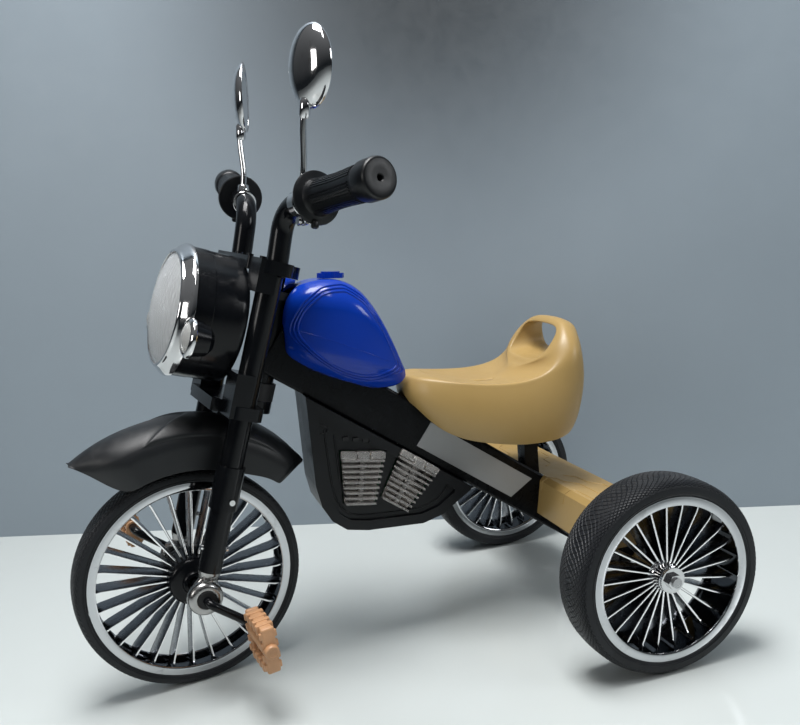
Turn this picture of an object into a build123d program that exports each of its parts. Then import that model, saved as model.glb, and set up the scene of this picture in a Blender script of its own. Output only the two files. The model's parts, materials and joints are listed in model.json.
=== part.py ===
"""Child's pedal tricycle styled as a cruiser motorcycle, as an assembly of separate pieces.

Bench frame, in millimetres: the ground is Z = 0, the rear axle is over Y = 0, the front is
towards -Y and the rider's left is +X. The steered pieces are drawn in a fork frame whose
origin is the front wheel's centre, whose Z runs up along the fork legs and whose Y points
backwards. Everything is exported with the middle of the whole object's footprint at X = Y = 0.
"""
import os
from math import asin, atan2, cos, degrees, radians, sin, tan

from build123d import *

# ---------------------------------------------------------------- driving dimensions
WHEELBASE = 529.0
RAKE = 19.0                # steering axis leans back from vertical, degrees
REST_STEER = 10.0          # how far the bars stand turned to the rider's left at rest
AXIS_BACK = 36.0           # steering axis behind the plane of the fork legs
RUNNING = 0.05             # radial clearance of a shaft in its bush
SLIP = 0.15                # radial clearance of a part slipped over or into another
SEAM = 0.3                 # gap between pieces that lie side by side

FRONT_RADIUS = 142.0
FRONT_TYRE_WIDTH = 42.0
FRONT_RIM_RADIUS = 127.5
FRONT_SPOKES = 28
FRONT_HUB_RADIUS = 31.0
FRONT_HUB_WIDTH = 60.0
REAR_RADIUS = 120.0
REAR_TYRE_WIDTH = 64.0
REAR_RIM_RADIUS = 101.5
REAR_SPOKES = 25
REAR_HUB_RADIUS = 17.0
REAR_TRACK = 470.0         # between the centre planes of the rear wheels
RIM_LIP = 11.0             # radial height of the bright lip on each side of a rim
SPOKE_THICKNESS = 1.8

CRANK_ROD = 10.5           # diameter of the one-piece crank
CRANK_THROW = 58.0
CRANK_ARM_X = 94.0
CRANK_BEND = 9.0
CRANK_DROP = -21.0         # rest angle of the left arm, measured from straight back
SPINDLE_END_X = 176.0
PEDAL_LENGTH = 74.0
PEDAL_WIDTH = 74.0
PEDAL_THICKNESS = 24.0
PEDAL_LEAN = 80.0          # rest angle of the pedal's tread from level

LEG_SPREAD = 68.0          # fork leg centres from the middle plane
LEG_TUBE = 28.0
TUBE_WALL = 1.2
LEG_JOINT_Z = 136.0        # where the upper and the lower leg tubes meet
LEG_TOP_Z = 388.0
LOWER_LEG_END_Z = 33.0
COLLAR_DIAMETER = 34.0
COLLAR_BOTTOM_Z = 110.5
COLLAR_TOP_Z = 162.5
DROPOUT_EYE_RADIUS = 21.5
DROPOUT_INNER_X = 65.0
DROPOUT_OUTER_X = 82.0
CRANK_BUSH_RADIUS = 11.0

STEERER_DIAMETER = 25.4
HEAD_TUBE_DIAMETER = 36.0
HEAD_TUBE_WALL = 2.5
HEAD_TUBE_BOTTOM_Z = 258.0
HEAD_TUBE_TOP_Z = 362.0
LOWER_BUSH_FLANGE = 22.0
UPPER_BUSH_FLANGE = 10.0
BUSH_FLANGE_DIAMETER = 44.0
BUSH_DEPTH = 16.0
CROWN_THICKNESS = 15.0
UPPER_CROWN_TOP_Z = 405.0
CROWN_COLLAR_WALL = 7.0
UPPER_COLLAR_LENGTH = 38.0
LOWER_COLLAR_LENGTH = 52.0

BAR_TUBE = 25.4
BAR_FOOT_Z = 391.0         # foot of a bar tube, inside the upper crown
BAR_FOOT_BACK = 5.0        # and behind the plane of the fork legs
BAR_CORNER_Z = 465.0
BAR_BEND_RADIUS = 34.0
BAR_RISE = 11.5            # grips rise outwards, degrees
BAR_SWEEP = 6.8            # and sweep backwards, degrees
BAR_REACH = 189.0          # corner of the bar to the end of the grip
GRIP_LENGTH = 121.0
GRIP_DIAMETER = 37.0
GRIP_FLANGE_DIAMETER = 58.0
GRIP_CAP_DIAMETER = 42.0
GRIP_CAP_LENGTH = 22.0

LAMP_Z = 324.5
LAMP_FRONT = 96.0          # lens rim in front of the fork leg plane
LENS_RADIUS = 65.5
LENS_DOME = 13.0
BEZEL_RADIUS = 78.5
BEZEL_DEPTH = 17.0
SHELL_RADIUS = 76.5
SHELL_BACK = 24.0          # back wall of the lamp shell in front of the leg plane
SHELL_WALL = 2.5
SIGNAL_RADIUS = 23.0
SIGNAL_X = 88.0
SIGNAL_Z = 303.0
SIGNAL_FRONT = 88.0
SIGNAL_DEPTH = 30.0

FENDER_CROWN_RADIUS = 210.0
FENDER_EDGE_RADIUS = 149.0
FENDER_HALF_WIDTH = 41.0
FENDER_WALL = 2.5
FENDER_REACH = 75.0        # of the fender's tail from the steering axis, to pass the casing

MIRROR_CLAMP_REACH = 36.5  # along the bar from its corner
MIRROR_CLAMP_WIDTH = 13.0
MIRROR_STEM_DIAMETER = 8.0
MIRROR_STEM_HEIGHTS = {"left": 107.0, "right": 97.0}  # as set, above the bar
MIRROR_HEIGHT = 86.0
MIRROR_WIDTH = 60.0
MIRROR_DEPTH = 15.0
MIRROR_TOE_IN = 26.0
MIRROR_LEAN = 13.0         # stems lean forward from the fork's direction

BEAM_HEIGHT = 60.0
BEAM_WIDTH = 40.0
BEAM_WALL = 2.0
BEAM_SLOPE = 36.3
AXLE_TUBE_DIAMETER = 44.0
AXLE_TUBE_LENGTH = REAR_TRACK - REAR_TYRE_WIDTH - 38.0
AXLE_DIAMETER = 12.0
AXLE_LENGTH = REAR_TRACK + REAR_TYRE_WIDTH + 14.0

CASING_HALF_WIDTH = 36.0
CASING_WALL = 2.5
CASING_BORDER = 13.0
CASING_RECESS = 4.0
LENS_PLACES = (((-301, 238), -9.0), ((-240, 222), -37.0))   # centre as Y and Z, and lean
BUTTON_PROUD = 2.4
TANK_WALL = 3.0
CAP_RADIUS = 16.0
LABEL_LENGTH = 160.0
LABEL_HEIGHT = 36.0
LABEL_THICKNESS = 0.8
SEAT_HALF_WIDTH = 86.0
SEAT_WALL = 3.5
HOOP_HEIGHT = 411.0
COVER_LENGTH = AXLE_TUBE_LENGTH + 8.0
COVER_WALL = 3.0
SEAT_POST_Y = -51.5
SEAT_POST_WIDTH = 20.0

# ---------------------------------------------------------------- frames
AXLE_CENTRE = Vector(0, -WHEELBASE, FRONT_RADIUS)
TURN = Pos(0, AXIS_BACK, 0) * Rot(0, 0, REST_STEER) * Pos(0, -AXIS_BACK, 0)
FORK = Pos(*AXLE_CENTRE) * Rot(-RAKE, 0, 0)
FORK_TURNED = FORK * TURN

BEAM_DOWN = Vector(0, cos(radians(BEAM_SLOPE)), -sin(radians(BEAM_SLOPE)))
BEAM_REAR = Vector(0, 6.0, REAR_RADIUS)


def head_axis_point(height):
    """Point of the steering axis at a height of the fork frame, in the bench frame."""
    return (FORK * Pos(0, AXIS_BACK, height)).position


def beam_height_at(y):
    """Height of the beam's centre line over a place on the ground."""
    return BEAM_REAR.Z + (BEAM_REAR.Y - y) * tan(radians(BEAM_SLOPE))


# ---------------------------------------------------------------- helpers
def rod(radius, start, end):
    """A round bar between two points."""
    line = Vector(*end) - Vector(*start)
    plane = Plane(origin=Vector(*start), z_dir=line)
    return extrude(plane * Circle(radius), amount=line.length)


def tube(outer, inner, start, end):
    """A round tube between two points."""
    line = Vector(*end) - Vector(*start)
    plane = Plane(origin=Vector(*start), z_dir=line)
    return extrude(plane * (Circle(outer) - Circle(inner)), amount=line.length)


def block(low, high):
    """A box between two corners."""
    size = Vector(*high) - Vector(*low)
    middle = (Vector(*high) + Vector(*low)) * 0.5
    return Pos(*middle) * Box(size.X, size.Y, size.Z)


def side_plate(face, x_low, x_high):
    """A face drawn with Y across and Z up, made into a plate from one X to another."""
    plane = Plane(origin=(x_low, 0, 0), x_dir=(0, 1, 0), z_dir=(1, 0, 0))
    return extrude(plane * face, amount=x_high - x_low)


def spun(face):
    """A face drawn with X along the axis and Y outwards, spun round the X axis."""
    return revolve(face, Axis.X)


def both_sides(shape):
    """A piece and its mirror image across the middle plane."""
    return [shape, mirror(shape, about=Plane.YZ)]


def group(solids):
    """Separate solids that share a node."""
    flat = []
    for item in solids:
        flat.extend(item.solids())
    return Compound(flat)


def side_sign(side):
    """+1 for the rider's left, -1 for the right."""
    return 1 if side == "left" else -1


# ---------------------------------------------------------------- wheels
def tyre(radius, width, bead_radius, crown_drop):
    """Moulded foam tyre, spun round X, with rounded shoulders and a slightly crowned tread."""
    half = width / 2
    shoulder = Vector(half - crown_drop, radius - crown_drop)
    bead = Vector(half - 2.5, bead_radius)
    outline = [
        Line((-bead.X, bead.Y), (bead.X, bead.Y)),
        ThreePointArc((bead.X, bead.Y), (half, (bead_radius + shoulder.Y) / 2), (shoulder.X, shoulder.Y)),
        ThreePointArc((shoulder.X, shoulder.Y), (0, radius), (-shoulder.X, shoulder.Y)),
        ThreePointArc((-shoulder.X, shoulder.Y), (-half, (bead_radius + shoulder.Y) / 2), (-bead.X, bead.Y)),
    ]
    return spun(make_face(Curve() + outline))


def rim(rim_radius, width, hub_radius, hub_width, bore_radius, spokes, spoke_depth):
    """One-piece bright wheel: barrel with a lip on each side, thin deep spokes and a hub."""
    half = width / 2 - 2.0
    barrel = rim_radius - 4.5
    lip = rim_radius - RIM_LIP
    profile = Polyline(
        (-half, lip), (-half + 3, lip), (-half + 3, barrel), (half - 3, barrel), (half - 3, lip), (half, lip),
        (half, rim_radius - SLIP), (-half, rim_radius - SLIP), close=True,
    )
    wheel = spun(make_face(profile))
    plane = Plane(origin=(-spoke_depth / 2, 0, 0), x_dir=(0, 1, 0), z_dir=(1, 0, 0))
    reach = rim_radius - 2.5 - hub_radius * 0.7
    blades = Sketch()
    for index in range(spokes):
        place = Rot(0, 0, 360 / spokes * index) * Pos(hub_radius * 0.7 + reach / 2, 0)
        blades += place * Rectangle(reach, SPOKE_THICKNESS)
    wheel += extrude(plane * blades, amount=spoke_depth)
    wheel += tube(hub_radius, bore_radius, (-hub_width / 2, 0, 0), (hub_width / 2, 0, 0))
    return wheel - rod(bore_radius, (-hub_width, 0, 0), (hub_width, 0, 0))


def crank():
    """One-piece crank: axle, two arms half a turn apart and two pedal spindles."""
    points = [
        (-SPINDLE_END_X, -CRANK_THROW, 0), (-CRANK_ARM_X, -CRANK_THROW, 0), (-CRANK_ARM_X, 0, 0),
        (CRANK_ARM_X, 0, 0), (CRANK_ARM_X, CRANK_THROW, 0), (SPINDLE_END_X, CRANK_THROW, 0),
    ]
    path = FilletPolyline(*points, radius=CRANK_BEND)
    section = Plane(origin=points[0], z_dir=(1, 0, 0)) * Circle(CRANK_ROD / 2)
    return Rot(CRANK_DROP, 0, 0) * sweep(section, path)


def pedal_place(side):
    """Where a pedal sits in the fork frame: its spindle's middle."""
    sign = side_sign(side)
    angle = radians(CRANK_DROP)
    middle_x = (CRANK_ARM_X + CRANK_ROD / 2 + SPINDLE_END_X) / 2 + 4.0
    return Vector(sign * middle_x, sign * CRANK_THROW * cos(angle), sign * CRANK_THROW * sin(angle))


def pedal():
    """Block pedal on X: a barrel round the spindle, two end plates and two tread bars."""
    half = PEDAL_LENGTH / 2
    end = 7.0
    bore = CRANK_ROD / 2 + RUNNING
    outline = RectangleRounded(PEDAL_WIDTH, PEDAL_THICKNESS, 5)
    plates = side_plate(outline, -half, -half + end) + side_plate(outline, half - end, half)
    bars = Sketch()
    for sign in (-1, 1):
        bars += Pos(sign * (PEDAL_WIDTH / 2 - 9), 0) * RectangleRounded(18, PEDAL_THICKNESS, 4)
    shape = plates + side_plate(bars, -half, half)
    shape += side_plate(Rectangle(PEDAL_WIDTH - 8, 4), -half + 1, half - 1)
    shape += rod(9.5, (-half, 0, 0), (half + 2.5, 0, 0))
    return shape - rod(bore, (-half - 1, 0, 0), (half - 1.5, 0, 0))


# ---------------------------------------------------------------- fork
def fork_legs():
    """The two upper leg tubes."""
    inner = LEG_TUBE / 2 - TUBE_WALL
    leg = tube(LEG_TUBE / 2, inner, (LEG_SPREAD, 0, LEG_JOINT_Z), (LEG_SPREAD, 0, LEG_TOP_Z))
    return group(both_sides(leg))


def lower_fork_tubes():
    """The two lower leg tubes, butted under the upper ones inside the collars."""
    inner = LEG_TUBE / 2 - TUBE_WALL
    leg = tube(LEG_TUBE / 2, inner, (LEG_SPREAD, 0, LOWER_LEG_END_Z), (LEG_SPREAD, 0, LEG_JOINT_Z - SEAM))
    return group(both_sides(leg))


def fork_collars():
    """Collars over the joint of the leg tubes."""
    inner = LEG_TUBE / 2 + SLIP
    bottom, top = (LEG_SPREAD, 0, COLLAR_BOTTOM_Z), (LEG_SPREAD, 0, COLLAR_TOP_Z)
    collar = tube(COLLAR_DIAMETER / 2, inner, bottom, top)
    return group(both_sides(collar))


def dropout():
    """Left dropout: a plug in the leg tube, a neck and an eye for the crank bush."""
    neck_width = LEG_TUBE - 2.0
    eye = Circle(DROPOUT_EYE_RADIUS)
    neck = Pos(0, LOWER_LEG_END_Z / 2) * Rectangle(neck_width, LOWER_LEG_END_Z)
    outline = eye + neck
    corners = outline.vertices().filter_by(lambda v: 8 < v.Y < LOWER_LEG_END_Z - 2)
    outline = fillet(corners, 9)
    body = side_plate(outline, DROPOUT_INNER_X, DROPOUT_OUTER_X)
    socket = rod(LEG_TUBE / 2, (LEG_SPREAD, 0, LOWER_LEG_END_Z - 11), (LEG_SPREAD, 0, LOWER_LEG_END_Z - SEAM))
    plug = rod(LEG_TUBE / 2 - TUBE_WALL - SLIP, (LEG_SPREAD, 0, LOWER_LEG_END_Z - 2), (LEG_SPREAD, 0, 74))
    bore = rod(CRANK_BUSH_RADIUS, (DROPOUT_INNER_X - 15, 0, 0), (DROPOUT_OUTER_X + 15, 0, 0))
    return body + socket + plug - bore


def crank_bushes():
    """Nylon bushes in the dropout eyes, each with a flange on the inside."""
    radius = CRANK_ROD / 2 + RUNNING
    outer = CRANK_BUSH_RADIUS - RUNNING
    sleeve = tube(outer, radius, (DROPOUT_INNER_X, 0, 0), (DROPOUT_OUTER_X + 1.5, 0, 0))
    flange = tube(15, radius, (DROPOUT_INNER_X - 4, 0, 0), (DROPOUT_INNER_X - SEAM / 2, 0, 0))
    sleeve += tube(outer, radius, (DROPOUT_INNER_X - 2, 0, 0), (DROPOUT_INNER_X + 1, 0, 0))
    return group(both_sides(sleeve + flange))


def steering_fasteners():
    """Screws of the collars, cross bolts of the lower tubes and the steerer's lock nut."""
    solids = []
    head_x = LEG_SPREAD + COLLAR_DIAMETER / 2
    screw = rod(3.4, (head_x + 0.02, 4, 122.5), (head_x + 2.2, 4, 122.5))
    screw += rod(1.9, (LEG_SPREAD + LEG_TUBE / 2 - TUBE_WALL - 2, 4, 122.5), (head_x + 1, 4, 122.5))
    bolt_radius = LEG_TUBE / 2
    bolt = rod(2.0, (LEG_SPREAD, -bolt_radius - 0.5, 60.5), (LEG_SPREAD, bolt_radius + 0.5, 60.5))
    bolt += rod(3.6, (LEG_SPREAD, -bolt_radius - 3, 60.5), (LEG_SPREAD, -bolt_radius - 0.2, 60.5))
    bolt += rod(3.6, (LEG_SPREAD, bolt_radius + 0.2, 60.5), (LEG_SPREAD, bolt_radius + 3, 60.5))
    for piece in (screw, bolt):
        solids.extend(both_sides(piece))
    return group(solids + [steerer_lock_nut()])


def screw_holes():
    """Clearance holes for the collar screws and the cross bolts."""
    screw = rod(2.0, (LEG_SPREAD + 5, 4, 122.5), (LEG_SPREAD + COLLAR_DIAMETER, 4, 122.5))
    bolt = rod(2.1, (LEG_SPREAD, -LEG_TUBE, 60.5), (LEG_SPREAD, LEG_TUBE, 60.5))
    holes = Part()
    for piece in (screw, bolt):
        for copy in both_sides(piece):
            holes += copy
    return holes


# ---------------------------------------------------------------- steering
def steerer():
    """Steerer tube through the head tube, from the lower crown to the upper one."""
    low = HEAD_TUBE_BOTTOM_Z - LOWER_BUSH_FLANGE - CROWN_THICKNESS
    high = UPPER_CROWN_TOP_Z - 1.0
    return tube(STEERER_DIAMETER / 2, STEERER_DIAMETER / 2 - 2.5, (0, AXIS_BACK, low), (0, AXIS_BACK, high))


def head_tube():
    """Head tube of the frame, in the fork frame."""
    outer = HEAD_TUBE_DIAMETER / 2
    bottom, top = (0, AXIS_BACK, HEAD_TUBE_BOTTOM_Z), (0, AXIS_BACK, HEAD_TUBE_TOP_Z)
    return tube(outer, outer - HEAD_TUBE_WALL, bottom, top)


def head_bushes():
    """Flanged plastic bushes pressed into both ends of the head tube, in the fork frame."""
    bore = STEERER_DIAMETER / 2 + RUNNING
    plug = HEAD_TUBE_DIAMETER / 2 - HEAD_TUBE_WALL - 0.02
    flange = BUSH_FLANGE_DIAMETER / 2
    low = HEAD_TUBE_BOTTOM_Z
    high = HEAD_TUBE_TOP_Z
    lower = tube(flange, bore, (0, AXIS_BACK, low - LOWER_BUSH_FLANGE), (0, AXIS_BACK, low - 0.02))
    lower += tube(plug, bore, (0, AXIS_BACK, low - 1), (0, AXIS_BACK, low + BUSH_DEPTH))
    upper = tube(flange, bore, (0, AXIS_BACK, high + 0.02), (0, AXIS_BACK, high + UPPER_BUSH_FLANGE))
    upper += tube(plug, bore, (0, AXIS_BACK, high - BUSH_DEPTH), (0, AXIS_BACK, high + 1))
    return group([lower, upper])


def steerer_lock_nut():
    """Nut that holds the steerer on top of the upper bush."""
    low = HEAD_TUBE_TOP_Z + UPPER_BUSH_FLANGE + SEAM
    high = UPPER_CROWN_TOP_Z - CROWN_THICKNESS - SEAM
    nut = extrude(Pos(0, AXIS_BACK, low) * RegularPolygon(19, 6), amount=high - low)
    return nut - rod(STEERER_DIAMETER / 2 + 0.02, (0, AXIS_BACK, low - 1), (0, AXIS_BACK, high + 1))


def crown_plate(z_low, z_high, front, collar_low, collar_high):
    """Bridge across the legs and the steerer, with a collar on each leg."""
    outer = LEG_TUBE / 2 + CROWN_COLLAR_WALL
    width = 2 * (LEG_SPREAD + outer)
    plate = RectangleRounded(width, 2 * outer, 12)
    plate += Pos(0, AXIS_BACK) * Circle(STEERER_DIAMETER / 2 + 9)
    plate += Pos(0, AXIS_BACK / 2) * Rectangle(2 * 26, AXIS_BACK)
    plate += Pos(0, (5 - front) / 2) * RectangleRounded(96, front + 5, 3)
    crown = extrude(Pos(0, 0, z_low) * plate, amount=z_high - z_low)
    collar = Pos(0, -outer / 2 + 0.5) * Rectangle(2 * outer - 4, outer + 1)
    for sign in (-1, 1):
        crown += extrude(Pos(sign * LEG_SPREAD, 0, collar_low) * collar, amount=collar_high - collar_low)
    for sign in (-1, 1):
        place = sign * LEG_SPREAD
        crown -= rod(LEG_TUBE / 2 + SLIP, (place, 0, collar_low - 1), (place, 0, LEG_TOP_Z + SEAM))
    return crown


def upper_crown():
    """Upper crown: closed over the leg tubes, open for the bar tubes and the steerer."""
    high = UPPER_CROWN_TOP_Z
    crown = crown_plate(high - CROWN_THICKNESS, high, SHELL_BACK - SEAM, high - UPPER_COLLAR_LENGTH, high)
    foot = bar_foot()
    socket = rod(BAR_TUBE / 2 + SLIP, foot - bar_riser() * SEAM, foot + bar_riser() * 40)
    for piece in both_sides(socket):
        crown -= piece
    return crown - rod(STEERER_DIAMETER / 2 + 0.02, (0, AXIS_BACK, high - 30), (0, AXIS_BACK, high - 0.9))


def lower_crown():
    """Lower crown: carries the steerer, grips the legs and holds the fender by a strap."""
    high = HEAD_TUBE_BOTTOM_Z - LOWER_BUSH_FLANGE - SEAM
    low = high - CROWN_THICKNESS
    crown = crown_plate(low, high, SHELL_BACK + 8, low, low + LOWER_COLLAR_LENGTH)
    crown += block((-14, -12, FENDER_CROWN_RADIUS + 0.5), (14, -6, low + 1))
    crown -= rod(STEERER_DIAMETER / 2 + 0.02, (0, AXIS_BACK, low - 1), (0, AXIS_BACK, high + 1))
    return crown


def crown_screws():
    """Screws on top of the upper crown."""
    solids = []
    for x, y in ((LEG_SPREAD - 22, -6), (22, -14)):
        screw = rod(4.0, (x, y, UPPER_CROWN_TOP_Z + 0.02), (x, y, UPPER_CROWN_TOP_Z + 3.0))
        solids.extend(both_sides(screw))
    return group(solids)


def bar_foot():
    """Foot of the left bar tube, in the fork frame."""
    return Vector(LEG_SPREAD, BAR_FOOT_BACK, BAR_FOOT_Z)


def bar_riser():
    """Direction of the upright part of a bar tube."""
    return (Vector(LEG_SPREAD, 0, BAR_CORNER_Z) - bar_foot()).normalized()


def bar_points():
    """Corner of the left bar tube and the way it goes out from there, in the fork frame."""
    out = cos(radians(BAR_RISE))
    way = Vector(out * cos(radians(BAR_SWEEP)), out * sin(radians(BAR_SWEEP)), sin(radians(BAR_RISE)))
    return Vector(LEG_SPREAD, 0, BAR_CORNER_Z), way


def handlebar():
    """Left bar tube: out of the upper crown, up, and bent out to the grip."""
    corner, way = bar_points()
    foot = bar_foot()
    end = corner + way * (BAR_REACH - 4)
    path = FilletPolyline(foot, corner, end, radius=BAR_BEND_RADIUS)
    plane = Plane(origin=foot, z_dir=bar_riser())
    return sweep(plane * Circle(BAR_TUBE / 2), path) - sweep(plane * Circle(BAR_TUBE / 2 - 1.8), path)


def grip():
    """Left grip: flange, ribbed barrel and a thicker end, closed over the bar's end."""
    corner, way = bar_points()
    begin = corner + way * (BAR_REACH - GRIP_LENGTH)
    plane = Plane(origin=begin, z_dir=way)
    shape = extrude(plane * Circle(GRIP_DIAMETER / 2), amount=GRIP_LENGTH)
    shape += extrude(plane * Circle(GRIP_FLANGE_DIAMETER / 2), amount=4)
    shape += extrude(plane.offset(4) * Circle(GRIP_FLANGE_DIAMETER / 2), amount=5, taper=45)
    end = plane.offset(GRIP_LENGTH - GRIP_CAP_LENGTH)
    shape += extrude(end * Circle(GRIP_CAP_DIAMETER / 2), amount=GRIP_CAP_LENGTH)
    return shape - extrude(plane.offset(-1) * Circle(BAR_TUBE / 2 + SLIP), amount=GRIP_LENGTH - 2.5)


# ---------------------------------------------------------------- mirrors
def clamp_centre():
    """Middle of the left mirror clamp on the bar."""
    corner, way = bar_points()
    return corner + way * MIRROR_CLAMP_REACH


def mirror_clamps():
    """Bright bands round the bar tubes, each with a socket for the mirror stem."""
    way = bar_points()[1]
    middle = clamp_centre()
    plane = Plane(origin=middle - way * (MIRROR_CLAMP_WIDTH / 2), z_dir=way)
    ring = Circle(BAR_TUBE / 2 + 2.2) - Circle(BAR_TUBE / 2 + 0.05)
    band = extrude(plane * ring, amount=MIRROR_CLAMP_WIDTH)
    up = stem_way()
    socket = rod(7.5, middle + up * (BAR_TUBE / 2 + 1.0), middle + up * (BAR_TUBE / 2 + 9))
    foot = rod(4.0, middle - up * (BAR_TUBE / 2 + 1.5), middle - up * (BAR_TUBE / 2 + 11))
    clamp = band + socket + foot - rod(BAR_TUBE / 2 + 0.05, middle - way * 20, middle + way * 20)
    hole = MIRROR_STEM_DIAMETER / 2 + RUNNING
    clamp -= rod(hole, middle + up * (BAR_TUBE / 2 + 3), middle + up * (BAR_TUBE / 2 + 12))
    return group(both_sides(clamp))


def stem_way():
    """Direction of a mirror stem, in the fork frame."""
    lean = radians(MIRROR_LEAN)
    return Vector(0.11, -sin(lean), cos(lean)).normalized()


def mirror_stem(height):
    """Left mirror stem, from its socket to the back of the mirror head."""
    up = stem_way()
    start = clamp_centre() + up * (BAR_TUBE / 2 + 3.3)
    return rod(MIRROR_STEM_DIAMETER / 2, start, clamp_centre() + up * height)


def mirror_plane(height):
    """Plane of the left mirror's glass: X across, Y up, Z towards the rider."""
    up = stem_way()
    toe = radians(MIRROR_TOE_IN)
    back = Vector(-sin(toe), cos(toe), 0)
    back = (back - up * back.dot(up)).normalized()
    centre = clamp_centre() + up * (height + MIRROR_HEIGHT / 2 - 10) + back * 8
    return Plane(origin=centre, x_dir=up.cross(back) * -1, z_dir=back)


def mirror_shell(height):
    """Left mirror shell: a domed oval back with a rim round the glass and a boss for the stem."""
    plane = mirror_plane(height)
    long_way = MIRROR_HEIGHT / 2
    short_way = MIRROR_WIDTH / 2
    shell = extrude(plane * Ellipse(short_way, long_way), amount=-4)
    shell += loft([
        plane.offset(-4) * Ellipse(short_way, long_way),
        plane.offset(-8) * Ellipse(short_way * 0.93, long_way * 0.95),
        plane.offset(-12) * Ellipse(short_way * 0.72, long_way * 0.78),
        plane.offset(-MIRROR_DEPTH) * Ellipse(short_way * 0.3, long_way * 0.4),
    ])
    up = stem_way()
    base = clamp_centre()
    shell += rod(6.2, base + up * (height - 16), base + up * (height + 4))
    shell -= extrude(plane.offset(0.5) * Ellipse(short_way - 2.5, long_way - 2.5), amount=-3.7)
    shell -= rod(MIRROR_STEM_DIAMETER / 2 + 0.02, base, base + up * (height + 0.3))
    return shell.solids().sort_by(SortBy.VOLUME)[-1]


def mirror_glass(height):
    """Left mirror glass in its rim."""
    long_way = MIRROR_HEIGHT / 2 - 2.7
    short_way = MIRROR_WIDTH / 2 - 2.7
    return extrude(mirror_plane(height).offset(-0.6) * Ellipse(short_way, long_way), amount=-2.4)


# ---------------------------------------------------------------- headlight
def lamp(profile):
    """Spin a profile with X forwards and Y outwards into the lamp's place in the fork frame."""
    return Pos(0, 0, LAMP_Z) * Rot(0, 0, -90) * spun(make_face(profile))


def headlight_shell():
    """Black lamp barrel with a stepped flank, open in front, with a closed back."""
    front = LAMP_FRONT - BEZEL_DEPTH
    outer = SHELL_RADIUS
    barrel = lamp(Polyline(
        (SHELL_BACK, 0), (SHELL_BACK, outer - 6), (SHELL_BACK + 6, outer), (front, outer),
        (front, outer - SHELL_WALL), (SHELL_BACK + 7, outer - SHELL_WALL), (SHELL_BACK + SHELL_WALL, outer - 8),
        (SHELL_BACK + SHELL_WALL, 0), close=True,
    ))
    return barrel


def lamp_bezels():
    """Bright rings that hold the headlight's lens and the lenses of the turn signals."""
    back = LAMP_FRONT - BEZEL_DEPTH + SLIP
    ring = lamp(Polyline(
        (back, BEZEL_RADIUS), (back + 5, BEZEL_RADIUS), (LAMP_FRONT - 3, LENS_RADIUS + 4),
        (LAMP_FRONT, LENS_RADIUS + 1.5), (LAMP_FRONT, LENS_RADIUS + SLIP), (LAMP_FRONT - 5, LENS_RADIUS + SLIP),
        (LAMP_FRONT - 5, LENS_RADIUS - 4), (LAMP_FRONT - 8, LENS_RADIUS - 4), (back, BEZEL_RADIUS - 5),
        close=True,
    ))
    return group([ring] + turn_signal_bezels())


def dome_arc(edge, radius, height):
    """Arc of a dome's section, from its rim to the axis, square to the axis."""
    sphere = (height ** 2 + radius ** 2) / (2 * height)
    half_angle = asin(radius / sphere) / 2
    centre = edge + height - sphere
    middle = (centre + sphere * cos(half_angle), sphere * sin(half_angle))
    return ThreePointArc((edge, radius), middle, (edge + height, 0))


def headlight_lens():
    """Clear domed lens, even in thickness."""
    edge = LAMP_FRONT - 4.8
    rim_front = LAMP_FRONT - 2
    inside = LENS_RADIUS - 3.5
    return lamp(Curve() + [
        dome_arc(rim_front, LENS_RADIUS, LENS_DOME),
        Line((rim_front + LENS_DOME, 0), (edge + LENS_DOME, 0)),
        dome_arc(edge, inside, LENS_DOME),
        Line((edge, inside), (edge, LENS_RADIUS)),
        Line((edge, LENS_RADIUS), (rim_front, LENS_RADIUS)),
    ])


def headlight_reflector():
    """Bright bowl behind the lens with a bulb holder in its middle."""
    edge = LAMP_FRONT - 9
    return lamp(Polyline(
        (edge, LENS_RADIUS - 5), (edge - 3, LENS_RADIUS - 5), (edge - 3, LENS_RADIUS + 0.5),
        (edge - 5, LENS_RADIUS + 0.5), (edge - 5, LENS_RADIUS - 6), (edge - 22, 38), (edge - 36, 12),
        (edge - 36, 7), (edge - 46, 7), (edge - 46, 0), (edge - 18, 0), (edge - 18, 5), (edge - 34, 6), (edge - 34, 11),
        (edge - 20, 37), (edge - 2, LENS_RADIUS - 7), (edge, LENS_RADIUS - 7), close=True,
    ))


def signal(profile, side):
    """Spin a profile round a turn signal's own axis and put it on one side of the lamp."""
    sign = side_sign(side)
    return Pos(sign * SIGNAL_X, 0, SIGNAL_Z) * Rot(0, 0, -90) * spun(make_face(profile))


def turn_signal_housings():
    """Black cups of the turn signals with a foot that sits against the lamp shell."""
    cups = []
    back = SIGNAL_FRONT - SIGNAL_DEPTH
    for side in ("left", "right"):
        cup = signal(Polyline(
            (back, 0), (back, 10), (back + 6, 17), (SIGNAL_FRONT - 7, SIGNAL_RADIUS - 2),
            (SIGNAL_FRONT - 7, SIGNAL_RADIUS - 4.5), (back + 8, 14), (back + 3, 9), (back + 3, 0), close=True,
        ), side)
        cups.append(cup - lamp_clearance(BEZEL_RADIUS + SEAM))
    return group(cups)


def turn_signal_bezels():
    """Bright rings in front of the turn signal cups, as a list."""
    rings = []
    for side in ("left", "right"):
        ring = signal(Polyline(
            (SIGNAL_FRONT - 7 + SLIP, SIGNAL_RADIUS - 5), (SIGNAL_FRONT - 7 + SLIP, SIGNAL_RADIUS),
            (SIGNAL_FRONT - 3, SIGNAL_RADIUS), (SIGNAL_FRONT, SIGNAL_RADIUS - 3.5),
            (SIGNAL_FRONT, SIGNAL_RADIUS - 5), close=True,
        ), side)
        rings.append(ring - lamp_clearance(BEZEL_RADIUS + SEAM))
    return rings


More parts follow.
